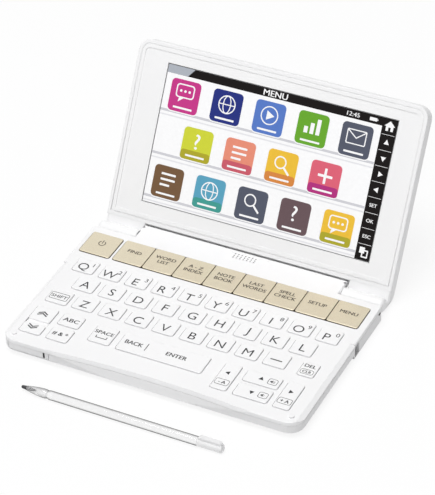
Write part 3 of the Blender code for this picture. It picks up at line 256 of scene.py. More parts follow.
def add_piece(name, mesh, material, body):
    """A new object of the dictionary that rides on a body."""
    obj = bpy.data.objects.new(name, mesh)
    bpy.context.scene.collection.objects.link(obj)
    mesh.name = name
    finish_mesh(mesh, material)
    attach(obj, body)
    return obj


def to_mesh(body):
    bmesh.ops.recalc_face_normals(body, faces=body.faces)
    mesh = bpy.data.meshes.new("piece")
    body.to_mesh(mesh)
    body.free()
    return mesh


def placed(mesh, place=Matrix()):
    """Brings a mesh that is drawn in millimetres to its size and its place."""
    mesh.transform(place @ Matrix.Scale(MM, 4))
    return mesh


def arc(x, y, radius, start, end, steps):
    """Points along an arc and at both its ends, its angles in degrees from the right."""
    turns = [math.radians(start + (end - start) * step / steps) for step in range(steps + 1)]
    return [(x + radius * math.cos(turn), y + radius * math.sin(turn)) for turn in turns]


def rounded_outline(width, depth, radius, steps=6):
    """Points round a rectangle that is centred on the origin."""
    points = []
    for side_x, side_y, start in ((1, 1, 0), (-1, 1, 90), (-1, -1, 180), (1, -1, 270)):
        centre = (side_x * (width / 2 - radius), side_y * (depth / 2 - radius))
        points += arc(*centre, radius, start, start + 90, steps)
    return points


def moved(points, x, y):
    return [(point[0] + x, point[1] + y) for point in points]


def walls(body, low, high):
    """Faces between two loops of equal length."""
    for index in range(len(low)):
        after = (index + 1) % len(low)
        body.faces.new((low[index], low[after], high[after], high[index]))


def lofted(loops, ring=False):
    """A closed solid through loops of equal length, with flat ends or joined end to end."""
    body = bmesh.new()
    rings = [[body.verts.new(point) for point in loop] for loop in loops]
    for low, high in zip(rings, rings[1:] + rings[:1] if ring else rings[1:]):
        walls(body, low, high)
    if not ring:
        body.faces.new(rings[0])
        body.faces.new(rings[-1])
    return to_mesh(body)


def shifted(path, distance, ring=False):
    """The points of a path that runs anticlockwise, moved outwards by a distance."""
    points = []
    for index, (x, y) in enumerate(path):
        before = path[index - 1] if index or ring else path[index]
        after = path[(index + 1) % len(path)] if ring else path[min(index + 1, len(path) - 1)]
        along = Vector((after[0] - before[0], after[1] - before[1])).normalized()
        points.append((x + along.y * distance, y - along.x * distance))
    return points


def band(path, outer, inner, low, high, ring=False):
    """A strip of even section that follows a path, between two distances from it and two heights."""
    edges = zip(shifted(path, outer, ring), shifted(path, inner, ring))
    return lofted([[(*out, low), (*out, high), (*back, high), (*back, low)] for out, back in edges], ring)


def turned(profile, sides, place):
    """A turned solid from (place along the axis, radius) points in millimetres, its ends on the axis."""
    body = bmesh.new()
    rings = []
    for along, radius in profile:
        around = arc(0, 0, radius, 0, 360, sides)[:-1] if radius else [(0, 0)]
        rings.append([body.verts.new((along, *point)) for point in around])
    if profile[0] == profile[-1]:
        rings[-1] = rings[0]
    for low, high in zip(rings, rings[1:]):
        for index in range(sides):
            after = (index + 1) % sides
            corners = [low[index % len(low)], low[after % len(low)]]
            corners += [high[after % len(high)], high[index % len(high)]]
            body.faces.new(list(dict.fromkeys(corners)))
    return placed(to_mesh(body), place)


INK_THICKNESS = 0.012
# Each shape of a print lies this much above the one before, so that no two faces share a plane
INK_STEP = 0.0002
# The size of a text whose capitals are one millimetre tall
CAPITAL_SIZE = 1.37


class Print:
    """Flat ink on one plane: shapes are drawn in millimetres and become one thin closed mesh."""

    def __init__(self, name, place, level):
        self.name = name
        self.place = place
        self.level = level
        self.middle = (0, 0)
        self.body = bmesh.new()

    def at(self, x, y):
        """Sets the point that what follows is drawn round."""
        self.middle = (x, y)
        return self

    def shape(self, points):
        """A filled outline of (x, y) points."""
        self.level += INK_STEP
        faces = []
        for height in (self.level - INK_THICKNESS / 2, self.level + INK_THICKNESS / 2):
            faces.append([self.body.verts.new((x, y, height)) for x, y in moved(points, *self.middle)])
        for face in faces:
            self.body.faces.new(face)
        walls(self.body, *faces)

    def box(self, left, low, right, high, radius=0.0):
        outline = rounded_outline(right - left, high - low, radius or 0.001, 4 if radius else 1)
        self.shape(moved(outline, (left + right) / 2, (low + high) / 2))

    def disc(self, x, y, radius, steps=28):
        self.shape(arc(x, y, radius, 0, 360, steps)[:-1])

    def line(self, points, width, closed=False):
        """A stroke of even width with square joints."""
        pairs = list(zip(points, points[1:]))
        if closed:
            pairs.append((points[-1], points[0]))
        for (x1, y1), (x2, y2) in pairs:
            length = math.hypot(x2 - x1, y2 - y1)
            x, y = (x2 - x1) / length * width / 2, (y2 - y1) / length * width / 2
            near = [(x1 - x - y, y1 - y + x), (x1 - x + y, y1 - y - x)]
            self.shape(near + [(x2 + x + y, y2 + y - x), (x2 + x - y, y2 + y + x)])

    def ring(self, x, y, radius, width, start=0, end=360, steps=28):
        outer = arc(x, y, radius + width / 2, start, end, steps)
        inner = arc(x, y, radius - width / 2, start, end, steps)
        for index in range(steps):
            self.shape([outer[index], outer[index + 1], inner[index + 1], inner[index]])

    def frame(self, left, low, right, high, radius, width):
        """A thin rounded box drawn as a line."""
        outline = rounded_outline(right - left, high - low, radius, 4)
        self.line(moved(outline, (left + right) / 2, (low + high) / 2), width, True)

    def arrow(self, x, y, size, turn):
        """A solid triangle that points the way of turn, in degrees from the right."""
        self.shape(arc(x, y, size, turn, turn + 360, 3)[:-1])

    def chevrons(self, x, y, way):
        for step in (0, 1):
            top = y + way * (0.1 + 1.25 * step)
            self.line([(x - 2.1, top - way * 1.1), (x, top + way * 0.1), (x + 2.1, top - way * 1.1)], 0.6)

    def speaker(self, x, y, waves):
        self.box(x - 1.05, y - 0.4, x - 0.55, y + 0.4)
        self.shape([(x - 0.55, y - 0.4), (x + 0.1, y - 0.95), (x + 0.1, y + 0.95), (x - 0.55, y + 0.4)])
        for wave in range(waves):
            self.ring(x, y, 0.6 + 0.42 * wave, 0.17, -50, 50, 6)

    def text(self, words, x, y, size, weight=0.0, stretch=1.0):
        """Words centred on a point; size is the height of a capital. A weight above nought is the reach of
        a second strike, and one below it thins the strokes."""
        curve = bpy.data.curves.new("words", "FONT")
        curve.body = words
        curve.align_x = "CENTER"
        curve.align_y = "CENTER"
        curve.size = size * CAPITAL_SIZE
        curve.extrude = INK_THICKNESS / 2
        curve.offset = min(weight, 0) / 2
        curve.resolution_u = 4
        obj = bpy.data.objects.new("words", curve)
        bpy.context.scene.collection.objects.link(obj)
        graph = bpy.context.evaluated_depsgraph_get()
        mesh = bpy.data.meshes.new_from_object(obj.evaluated_get(graph))
        mesh.transform(Matrix.Diagonal((stretch, 1, 1, 1)))
        spans = [[vert.co[i] for vert in mesh.vertices] for i in (0, 1)]
        x += self.middle[0] - (min(spans[0]) + max(spans[0])) / 2 - max(weight, 0) / 2
        y += self.middle[1] - (min(spans[1]) + max(spans[1])) / 2
        mesh.transform(Matrix.Translation((x, y, self.level)))
        self.body.from_mesh(mesh)
        if weight > 0:
            mesh.transform(Matrix.Translation((weight, 0, INK_STEP)))
            self.body.from_mesh(mesh)
        bpy.data.objects.remove(obj, do_unlink=True)
        bpy.data.curves.remove(curve)
        bpy.data.meshes.remove(mesh)

    def finish(self, material, body, slot=None):
        bmesh.ops.remove_doubles(self.body, verts=self.body.verts, dist=1e-5)
        return add_piece(self.name, placed(to_mesh(self.body), self.place), material, body)


def colour_setting(name, description, value):
    return FloatVectorProperty(name=name, description=description, subtype="COLOR", default=value)


def length_setting(name, description, value):
    """A length whose default is given in millimetres."""
    return FloatProperty(name=name, description=description, default=value * MM, unit="LENGTH", precision=6)


def power_setting(name, description, value):
    return FloatProperty(name=name, description=description, default=value, unit="POWER")


def number_setting(name, description, value, low, high):
    return FloatProperty(name=name, description=description, default=value, min=low, max=high)


def count_setting(name, description, value, low, high):
    return IntProperty(name=name, description=description, default=value, min=low, max=high)


class DictionaryCaseLook(bpy.types.PropertyGroup):
    """Plastic of the case and the lid."""

    white: colour_setting("White", "Colour of the deck and the bezel", (0.895, 0.895, 0.90))
    # Darker than the deck's white though it is the same plastic: painted shade for the sides of the bottom
    # case
    case_shade_white: colour_setting("Case white", "Colour of the bottom case", (0.82, 0.82, 0.825))
    lid_white: colour_setting("Lid white", "Colour of the lid's shell", (0.89, 0.89, 0.895))
    # The washer's dark grey is painted shade for the gap between the lid's left leg and the bridge
    washer: colour_setting("Washer", "Colour of the hinge washer", (0.10, 0.10, 0.105))
    roughness: number_setting("Roughness", "How dull the plastic is", 0.36, 0.0, 1.0)
    grain: length_setting("Grain depth", "Depth of the moulded grain", 0.003)


class DictionaryKeyLook(bpy.types.PropertyGroup):
    """Key caps, their paint and their legends."""

    cap: colour_setting("Cap", "Colour of the white caps", (0.90, 0.90, 0.905))
    gold: colour_setting("Gold", "Colour of the painted caps", (0.745, 0.67, 0.505))
    # This colour is painted shade on the walls of the gold caps, for the gaps round them
    gold_side_shade: colour_setting("Gold side", "Bare plastic of those caps", (0.10, 0.075, 0.04))
    legend: colour_setting("Legend", "Colour of the printed legends", (0.02, 0.02, 0.023))
    gold_legend: colour_setting("Gold legend", "Ink on the painted caps", (0.09, 0.075, 0.055))
    corner: length_setting("Corner radius", "Corner radius of a cap", 1.0)
    edge: length_setting("Top edge radius", "Rounding of a cap's top edge", 0.35)
    flange: length_setting("Flange", "Width of the flange below the deck", 0.5)
    flange_height: length_setting("Flange height", "Thickness of that flange", 0.6)
    rocker_split: number_setting("Rocker split", "Place of its valley, from the front", 0.42, 0.2, 0.8)
    rocker_valley: length_setting("Rocker valley", "Width of that valley", 2.4)
    rocker_depth: length_setting("Valley depth", "Depth of that valley", 0.8)
    letter: number_setting("Letter height", "Height of a letter, in millimetres", 4.9, 1.0, 6.0)
    digit: number_setting("Digit height", "Height of a digit, in millimetres", 2.6, 0.5, 4.0)


class DictionaryScreenLook(bpy.types.PropertyGroup):
    """The menu on the screen and the touch strip beside it."""

    glow: number_setting("Glow", "Share of the screen's colour that glows", 0.45, 0.0, 1.0)
    paper: colour_setting("Paper", "Background of the menu", (0.97, 0.97, 0.98))
    bar: colour_setting("Bar", "Header and touch strip", (0.012, 0.010, 0.010))
    header: number_setting("Header height", "In millimetres", 4.0, 2.0, 8.0)
    strip: number_setting("Strip width", "In millimetres", 7.4, 3.0, 12.0)
    tile: number_setting("Tile size", "In millimetres", 15.2, 8.0, 22.0)
    cells: count_setting("Strip cells", "Touch cells in the strip", 9, 3, 12)


class DictionaryStylusLook(bpy.types.PropertyGroup):
    """The clear stylus."""

    clear: colour_setting("Clear", "Tint of the clear barrel", (0.95, 0.95, 0.952))
    # The rim colours are painted shade for the dark outlines along the edges of the clear barrel and cone
    rim: colour_setting("Rim", "Tint of the barrel's thick edges", (0.004, 0.004, 0.004))
    cone_rim_shade: colour_setting("Cone rim", "Tint of the cone's thick edges", (0.01, 0.01, 0.011))
    core: colour_setting("Core", "Colour of the core inside the cone", (0.4, 0.4, 0.405))
    milky: colour_setting("Milky", "Colour of the frosted end", (0.83, 0.83, 0.835))
    sides: count_setting("Sides", "Facets round the barrel", 56, 16, 96)


class DictionaryStudioLook(bpy.types.PropertyGroup):
    """Floor, lamps and camera."""

    floor: colour_setting("Floor", "Colour of the floor", (0.93, 0.93, 0.935))
    key_power: power_setting("Key lamp", "Power of the large lamp", 29.5)
    fill_power: power_setting("Fill lamp", "Power of the fill lamp", 6.5)
    sky: number_setting("Sky", "Strength of the even light all round", 0.31, 0.0, 2.0)
    lens: number_setting("Lens", "Focal length in millimetres", 190.06, 20.0, 400.0)


class DICTIONARY_OT_case(bpy.types.Operator):
    """Finish the case, the lid and the card cover in grained white plastic"""

    bl_idname = "dictionary.case"
    bl_label = "Case and lid"

    def execute(self, context):
        look = context.scene.dictionary_case
        deck = moulded_plastic("deck_white", look.white, look.roughness, look.grain)
        # The bottom case and the card cover take the darker white, painted shade for their sides
        case = moulded_plastic("case_shade_white", look.case_shade_white, look.roughness + 0.06, look.grain * 2)
        lid = moulded_plastic("lid_white", look.lid_white, look.roughness - 0.04, look.grain / 3)
        bezel = moulded_plastic("bezel_white", look.white, look.roughness, look.grain)
        set_finish("base_top_deck", deck)
        set_finish("base_bottom_case", case)
        set_finish("card_cover", case)
        set_finish("lid_back_cover", lid)
        set_finish("lid_front_bezel", bezel)
        return {"FINISHED"}


def bridge_points():
    """The points of the deck's bridge, which is the part behind the hinge axis."""
    return [point for point in cad_points("base_top_deck") if point.y > 0]


def fit_bridge_lip(material):
    """The rounded back edge of the bridge, close to the lid's cut-out."""
    bridge = bridge_points()
    half = max(point.x for point in bridge)
    rise = 0.006
    top = max(point.z for point in bridge) + rise
    front, bend, back = 3.9, 4.3, 6.5
    reach, fall, height = 2.8, 2.1, 3.4
    # The round ends: how far each step lies inside the end, and how much smaller the lip is there
    end_steps = ((0.0, 0.0), (0.45, 0.35), (1.0, 1.12))
    loops = []
    for end in (-1, 1):
        for inset, pull in end_steps[::end]:
            x = end * (half - inset)
            loop = [(x, front, top)]
            for turn in range(0, 91, 15):
                angle = math.radians(turn)
                y = bend + (reach - pull) * math.sin(angle)
                loop.append((x, y, top - fall + fall * math.cos(angle)))
            loop += [(x, back - pull, top - height), (x, front, top - height)]
            loops.append(loop)
    add_piece("bridge_lip", placed(lofted(loops)), material, "base")


def fit_hinge_filler(material):
    """A thin collar that fills most of the slit between the bridge and the right knuckle."""
    inner, outer, thickness, overlap = 2.2, 3.45, 0.38, 0.02
    start = max(point.x for point in bridge_points()) - overlap
    outline = arc(0, 0, outer, 50, 194, 12) + arc(0, 0, inner, 50, 194, 12)[::-1]
    mesh = lofted([[(x, *point) for point in outline] for x in (start, start + thickness)])
    add_piece("hinge_filler", placed(mesh, Matrix.Translation(LID_AXIS)), material, "base")


def fit_bezel_seal(material):
    """A strip that closes the joint all round the bezel."""
    low, high = corners_of(lid_points("lid_front_bezel"))
    radius, reach, overlap, depth, rise = 4.1, 0.26, -0.02, 0.7, 0.1
    path = [(low.x, low.y), (high.x, low.y)]
    for start, middle in ((0, high.x - radius), (90, low.x + radius)):
        path += arc(middle, high.y - radius, radius, start, start + 90, 6)
    mesh = band(path, reach, overlap, high.z - depth, high.z - rise, True)
    add_piece("bezel_seal", placed(mesh, LID_PLACE), material, "lid")


def fit_seam_strip(material):
    """A strip in the seam between the deck and the bottom case, along the sides and the front."""
    deck = cad_points("base_top_deck")
    half = max(point.x for point in deck)
    front = min(point.y for point in deck)
    radius, back, low, high = 7.0, -8.0, 6.31, 6.6
    outer, inner = -0.1, -0.35
    x, y = half - radius, front + radius
    rim = {(round(p.x, 2), round(p.y, 2)) for p in deck if abs(p.z - high) < 0.01 and p.y < front + 1.8}
    path = [(-half, back)]
    path += arc(-x, y, radius, 180, 270, 8)
    path += sorted(point for point in rim if abs(point[0]) < x - 0.1)
    path += arc(x, y, radius, 270, 360, 8)
    path.append((half, back))
    add_piece("seam_strip", placed(band(path, outer, inner, low, high)), material, "base")


def fit_nick_shade(material):
    """A dark sheet at the back of the nail nick in the card cover: painted shade for the recess."""
    cover = cad_points("card_cover")
    end, width, low, high, depth = 1.8, 1.0, 3.4, 6.3, 0.08
    right = max(point.x for point in cover) - end
    front = min(point.y for point in cover)
    place = Matrix.Translation((0, (front + depth) * MM, 0)) @ Matrix.Rotation(math.pi / 2, 4, "X")
    mark = Print("nick_shade", place, 0)
    mark.box(right - width, low, right, high)
    mark.finish(material, "card_cover", "case_plastic")


def fit_strap_hole_shade(material):
    """A thin dark sleeve in the strap hole of the right wall: painted shade for the inside of the hole."""
    case = cad_points("base_bottom_case")
    # The points of the wall that lie round the hole
    low, high = corners_of([p for p in case if p.x > 70 and -8.0 < p.y < -5.0 and 4.8 < p.z < 6.2])
    middle = (low + high) / 2
    play, wall, recess, radius = 0.04, 0.12, 0.06, 0.2
    outline = rounded_outline(high.y - low.y - play, high.z - low.z - play, radius, 3)
    mesh = band(moved(outline, middle.y, middle.z), 0, -wall, low.x, high.x - recess, True)
    place = Matrix.Rotation(math.pi / 2, 4, "Z") @ Matrix.Rotation(math.pi / 2, 4, "X")
    add_piece("strap_hole_shade", placed(mesh, place), material, "base")


def fit_shade_washer(material):
    """A washer in the gap between the left leg of the lid and the bridge, coloured dark as painted shade
    for that gap.
    """
    left, right, inner, outer = -52.3, -52.0, 2.4, 3.35
    profile = [(left, inner), (left, outer), (right, outer), (right, inner), (left, inner)]
    mesh = turned(profile, 40, Matrix.Translation(LID_AXIS))
    add_piece("hinge_shade_washer", mesh, material, "lid")


def fit_screws(material, dark):
    """Cross-head screws in the holes under the case, each found by the edge of its hole."""
    hole_edge, hole_middle, recess = 69.5, 70.3, 0.45
    holes = set()
    for point in cad_points("base_bottom_case"):
        if abs(abs(point.x) - hole_edge) < 0.01 and point.z < 2.5:
            holes.add(tuple(round(part, 1) for part in point))
    head = [(0, 0), (0, 0.55), (0.12, 0.7), (0.6, 0.72), (0.6, 0)]
    for index, (x, y, z) in enumerate(sorted(holes)):
        name = f"case_screw_{index + 1}"
        place = Matrix.Translation(Vector((math.copysign(hole_middle, x), y, z + recess)) * MM)
        mesh = turned(head, 20, place @ Matrix.Rotation(-math.pi / 2, 4, "Y"))
        add_piece(name, mesh, material, "base")
        # The cross is a dark print on the flat head: painted shade for the recess of a cross head
        cross = Print(f"{name}_cross", place @ Matrix.Rotation(math.pi, 4, "X"), 0.01)
        for reach, half in ((0.42, 0.09), (0.09, 0.42)):
            cross.box(-reach, -half, reach, half)
        cross.finish(dark, "base", "speaker_black")


class DICTIONARY_OT_trims(bpy.types.Operator):
    """Fit the lip, the filler, the seals, the dark inlays that paint shade in the nick and the strap hole,
    the dark washer that paints shade in the hinge gap, and the screws
    """

    bl_idname = "dictionary.trims"
    bl_label = "Trims and screws"

    def execute(self, context):
        deck = bpy.data.materials["deck_white"]
        fit_bridge_lip(deck)
        fit_hinge_filler(deck)
        fit_bezel_seal(bpy.data.materials["bezel_white"])
        fit_seam_strip(bpy.data.materials["case_shade_white"])
        # Dark grey painted shade, for the washer in the hinge gap and the crosses in the screw heads
        dark = soft_dull("painted_shade_grey", context.scene.dictionary_case.washer, 0.5, 600.0)
        fit_shade_washer(dark)
        # Black painted shade for the hollows of the nail nick and the strap hole
        black = soft_dull("hollow_shade_black", (0.012, 0.012, 0.013), 0.7, 600.0)
        fit_nick_shade(black)
        fit_strap_hole_shade(black)
        fit_screws(metal("screw_steel", (0.55, 0.55, 0.56), 0.3), dark)
        return {"FINISHED"}


# How far each step of a cap's dished top lies inside its rounding, and how deep
CAP_DISH = ((0.6 * MM, 0.0), (1.6 * MM, 0.025 * MM), (3.0 * MM, 0.045 * MM))
# The dish ends where its steps would take this share of the narrower side
DISH_SHARE = 0.85
LEAST_CORNER = 0.15 * MM
EDGE_STEPS = 4


def cap_mesh(low, high, look, flanged):
    """A key cap in the place of its CAD node, with finer corners and a slightly dished top."""
    grown = look.flange if flanged else 0.0
    width, depth = high.x - low.x, high.y - low.y
    steps = [(low.z, 0.0)]
    if flanged:
        shelf = low.z + look.flange_height
        steps += [(shelf, 0.0), (shelf, grown)]
    for step in range(EDGE_STEPS + 1):
        turn = math.radians(90 * step / EDGE_STEPS)
        steps.append((high.z - look.edge * (1 - math.sin(turn)), grown + look.edge * (1 - math.cos(turn))))
    for inset, drop in CAP_DISH:
        if 2 * (inset + grown + look.edge) < min(width, depth) * DISH_SHARE:
            steps.append((high.z - drop, grown + look.edge + inset))
    middle = (low + high) / 2
    loops = []
    for height, inset in steps:
        radius = max(look.corner + grown - inset, LEAST_CORNER)
        outline = rounded_outline(width - 2 * inset, depth - 2 * inset, radius)
        loops.append([(x, y, height) for x, y in moved(outline, middle.x, middle.y)])
    return lofted(loops)


def rocker_mesh(look):
    """The scroll rocker: a plate under the deck's edge that carries two raised halves."""
    low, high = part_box(ROCKER)
    middle = low.y + (high.y - low.y) * look.rocker_split
    half = look.rocker_valley / 2
    left, right = low.x + look.flange, high.x - look.flange
    shelf = low.z + look.flange_height
    plate = (low, (high.x, high.y, high.z - look.rocker_depth))
    front = ((left, low.y + look.flange, shelf), (right, middle - half, high.z))
    back = ((left, middle + half, shelf), (right, high.y - look.flange, high.z))
    body = bmesh.new()
    for corners in (plate, front, back):
        piece = cap_mesh(*(Vector(corner) for corner in corners), look, corners is plate)
        body.from_mesh(piece)
        bpy.data.meshes.remove(piece)
    mesh = bpy.data.meshes.new("piece")
    body.to_mesh(mesh)
    body.free()
    return mesh


class DICTIONARY_OT_key_caps(bpy.types.Operator):
    """Build the white key caps with soft edges"""

    bl_idname = "dictionary.key_caps"
    bl_label = "White key caps"

    def execute(self, context):
        look = context.scene.dictionary_keys
        material = moulded_plastic("cap_white", look.cap, 0.42, 0.002 * MM, 0.0)
        for node in WHITE_KEYS:
            mesh = rocker_mesh(look) if node == ROCKER else cap_mesh(*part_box(node), look, True)
            cap = add_piece(f"cap_{node}", mesh, material, node)
            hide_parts(node)
        return {"FINISHED"}


# The walls of a gold cap that get painted shade: faces this upright that lie this share of the rounding
# below the top
WALL_SLOPE = 0.3
WALL_START = 0.55


def paint_side_shade(cap, material, edge):
    """Leaves the paint on a cap's top and its rounding; the walls below get a dark painted shade for the
    gap round the cap.
    """
    cap.data.materials.append(material)
    top = max(vert.co.z for vert in cap.data.vertices)
    for face in cap.data.polygons:
        if abs(face.normal.z) < WALL_SLOPE and face.center.z < top - edge * WALL_START:
            face.material_index = 1


class DICTIONARY_OT_gold_caps(bpy.types.Operator):
    """Build the painted function keys and the power key"""

    bl_idname = "dictionary.gold_caps"
    bl_label = "Gold key caps"

    def execute(self, context):
        look = context.scene.dictionary_keys
        material = champagne_paint("champagne_gold", look.gold, 0.002 * MM)
        # The dark walls below the paint are painted shade for the gaps round the caps
        under = soft_dull("gold_key_side_shade", look.gold_side_shade, 0.6, 400.0)
        for node in GOLD_KEYS:
            cap = add_piece(f"cap_{node}", cap_mesh(*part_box(node), look, False), material, node)
            paint_side_shade(cap, under, look.edge)
            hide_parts(node)
        return {"FINISHED"}


# How far a legend lies above its cap, in millimetres
LEGEND_LAYER = 0.007


def key_print(node):
    """A print on a key's top, with its origin at the middle of the cap."""
    low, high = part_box(node)
    place = Matrix.Translation(((low.x + high.x) / 2, (low.y + high.y) / 2, high.z))
    return Print(f"legend_{node}", place, LEGEND_LAYER)


# Where the letters of a row, and the digits, stand on their caps, in millimetres from the middle
LETTER_PLACES = {"qwertyuiop": (-0.8, -1.2), "asdfghjkl": (0.05, -0.3), "zxcvbnm": (-0.1, -0.85)}
DIGIT_PLACE = (3.45, 1.6)
DIGITS = dict(zip("qwertyuiop", "1234567890"))
LETTER_WEIGHT = -0.04
LETTER_STRETCH = 1.05
DIGIT_STRETCH = 1.1


class DICTIONARY_OT_letters(bpy.types.Operator):
    """Print letters and digits on the letter keys"""

    bl_idname = "dictionary.letters"
    bl_label = "Letters and digits"

    def execute(self, context):
        look = context.scene.dictionary_keys
        material = ink("legend_grey", look.legend)
        for row, place in LETTER_PLACES.items():
            for letter in row:
                node = f"key_{letter}"
                mark = key_print(node)
                mark.text(letter.upper(), *place, look.letter, LETTER_WEIGHT, LETTER_STRETCH)
                if letter in DIGITS:
                    mark.text(DIGITS[letter], *DIGIT_PLACE, look.digit, 0, DIGIT_STRETCH)
                mark.finish(material, node)
        dash = key_print("key_dash")
        dash.box(-2.9, -0.85, 2.7, -0.25)
        dash.finish(material, "key_dash")
        return {"FINISHED"}


SIZE_FRAME = ("frame", -3.2, -5.9, 3.2, -2.3, 0.9, 0.22)
VOLUME_FRAME = ("frame", 2.8, -1.8, 7.0, 1.8, 0.9, 0.22)
# What is printed on each control key: tools of Print with their values, from the middle of the cap
CONTROL_MARKS = {
    "shift_key": (("frame", -4.5, -2.2, 4.3, 2.2, 0.5, 0.24), ("text", "SHIFT", -0.1, 0, 2.0, 0.05, 1.15)),
    ROCKER: (("chevrons", -0.3, 4.3, 1), ("chevrons", -0.3, -5.0, -1)),
    "character_key": (("text", "ABC", 0, 0, 2.5, 0.14, 1.2),),
    "symbol_key": (("text", "# & *", 0, 0, 2.5, 0.14),),
    "space_key": (
        ("text", "SPACE", 0, 1.2, 2.2, 0.14, 1.1),
        ("line", ((-2.6, -1.4), (-2.6, -2.6), (2.6, -2.6), (2.6, -1.4)), 0.36),
    ),
    "back_enter_key": (
        ("text", "BACK", -14.6, 0.4, 2.5, 0.14),
        ("line", ((-8.3, -1.9), (-8.3, 2.6)), 0.36),
        ("text", "ENTER", 6.6, 0.2, 2.5, 0.14),
    ),
    "delete_key": (
        ("text", "DEL", 0, 2.1, 2.1, 0.14, 1.1),
        ("frame", -3.0, -3.4, 3.0, -0.4, 1.0, 0.22),
        ("text", "CLR", 0, -1.9, 1.7, 0.12),
    ),
    "left_key": (("arrow", -0.2, 2.4, 1.35, 180), SIZE_FRAME, ("text", "- A", 0, -4.1, 2.0, 0.14)),
    "right_key": (("arrow", -0.2, 2.4, 1.35, 0), SIZE_FRAME, ("text", "+ A", 0, -4.1, 2.0, 0.14)),
    "up_key": (("arrow", -0.6, 0.0, 1.35, 90), VOLUME_FRAME, ("speaker", 4.8, 0.0, 2)),
    "down_key": (("arrow", -0.6, 0.0, 1.35, 270), VOLUME_FRAME, ("speaker", 4.8, 0.0, 1)),
}


class DICTIONARY_OT_control_legends(bpy.types.Operator):
    """Print the signs and words of the control keys"""

    bl_idname = "dictionary.control_legends"
    bl_label = "Control legends"

    def execute(self, context):
        material = ink("control_grey", context.scene.dictionary_keys.legend)
        for node, steps in CONTROL_MARKS.items():
            mark = key_print(node)
            for tool, *values in steps:
                getattr(mark, tool)(*values)
            mark.finish(material, node)
        return {"FINISHED"}


GOLD_WORDS = {
    "function_key_1": ["FIND"],
    "function_key_2": ["WORD", "LIST"],
    "function_key_3": ["A - Z", "INDEX"],
    "function_key_4": ["NOTE", "BOOK"],
    "function_key_5": ["LAST", "WORDS"],
    "function_key_6": ["SPELL", "CHECK"],
    "function_key_7": ["SETUP"],
    "function_key_8": ["MENU"],
}
GOLD_LINE_PITCH = 3.0
GOLD_LETTER = 2.15


class DICTIONARY_OT_gold_legends(bpy.types.Operator):
    """Print the words of the gold keys and the power sign"""

    bl_idname = "dictionary.gold_legends"
    bl_label = "Gold key legends"

    def execute(self, context):
        material = ink("gold_key_ink", context.scene.dictionary_keys.gold_legend)
        power = key_print("power_key")
        power.ring(0, 0.9, 1.6, 0.42, 125, 415)
        power.line([(0, 0.9), (0, 2.9)], 0.42)
        power.finish(material, "power_key")
        for node, words in GOLD_WORDS.items():
            mark = key_print(node)
            top = 0.9 + GOLD_LINE_PITCH / 2 * (len(words) - 1)
            for index, word in enumerate(words):
                mark.text(word, 0, top - GOLD_LINE_PITCH * index, GOLD_LETTER, 0.14, 1.1)
            mark.finish(material, node)
        return {"FINISHED"}


class DICTIONARY_OT_inner_parts(bpy.types.Operator):
    """Finish the parts that lie inside the case"""

    bl_idname = "dictionary.inner_parts"
    bl_label = "Inner parts"

    def execute(self, context):
        set_finish("key_mat", soft_dull("mat_rubber", (0.42, 0.42, 0.44), 0.75, 500.0))
        set_finish("circuit_board", soft_dull("board_green", (0.04, 0.20, 0.09), 0.45, 300.0))
        set_finish("battery_pack", soft_dull("battery_wrap", (0.33, 0.34, 0.38), 0.4, 120.0))
        set_finish("speaker", soft_dull("speaker_black", (0.03, 0.03, 0.03), 0.6, 900.0))
        set_finish("hinge_shaft", metal("shaft_steel", (0.6, 0.6, 0.62), 0.28))
        return {"FINISHED"}


def speech_bubble(marks):
    marks.frame(-4.4, -1.8, 4.4, 4.2, 1.4, 0.6)
    marks.shape([(-2.6, -2.0), (-0.2, -2.0), (-3.0, -4.2)])
    for step in (-1, 0, 1):
        marks.disc(2.2 * step, 1.2, 0.62, 14)


def globe(marks):
    radius, bulge = 4.1, 1.9
    marks.ring(0, 0, radius, 0.55)
    marks.line([(-3.9, 0), (3.9, 0)], 0.45)
    for side in (-bulge, bulge):
        turns = [math.radians(turn) for turn in range(-90, 91, 30)]
        marks.line([(side * math.cos(turn), radius * math.sin(turn)) for turn in turns], 0.45)


def bar_chart(marks):
    for left, top in ((-4.0, -0.4), (-1.0, 1.6), (2.0, 3.8)):
        marks.box(left, -3.4, left + 1.9, top)


def play_sign(marks):
    marks.ring(0, 0, 4.1, 0.55)
    marks.shape([(-1.4, -2.2), (2.5, 0), (-1.4, 2.2)])


def envelope(marks):
    marks.frame(-4.6, -3.0, 4.6, 3.4, 0.5, 0.5)
    marks.line([(-4.4, 3.1), (0, -0.2), (4.4, 3.1)], 0.5)


def question(marks):
    marks.text("?", 0, 0.2, 7.4, 0.1, 1.1)


def magnifier(marks):
    marks.ring(-0.9, 0.9, 2.7, 0.65)
    marks.line([(1.2, -1.2), (3.8, -3.8)], 0.95)


def note_lines(marks):
    for height, reach in ((2.6, 3.6), (0, 3.6), (-2.6, 1.2)):
        marks.box(-3.8, height - 0.5, reach, height + 0.5, 0.2)


def plus_sign(marks):
    for reach, half in ((3.6, 0.6), (0.6, 3.6)):
        marks.box(-reach, -half, reach, half, 0.2)


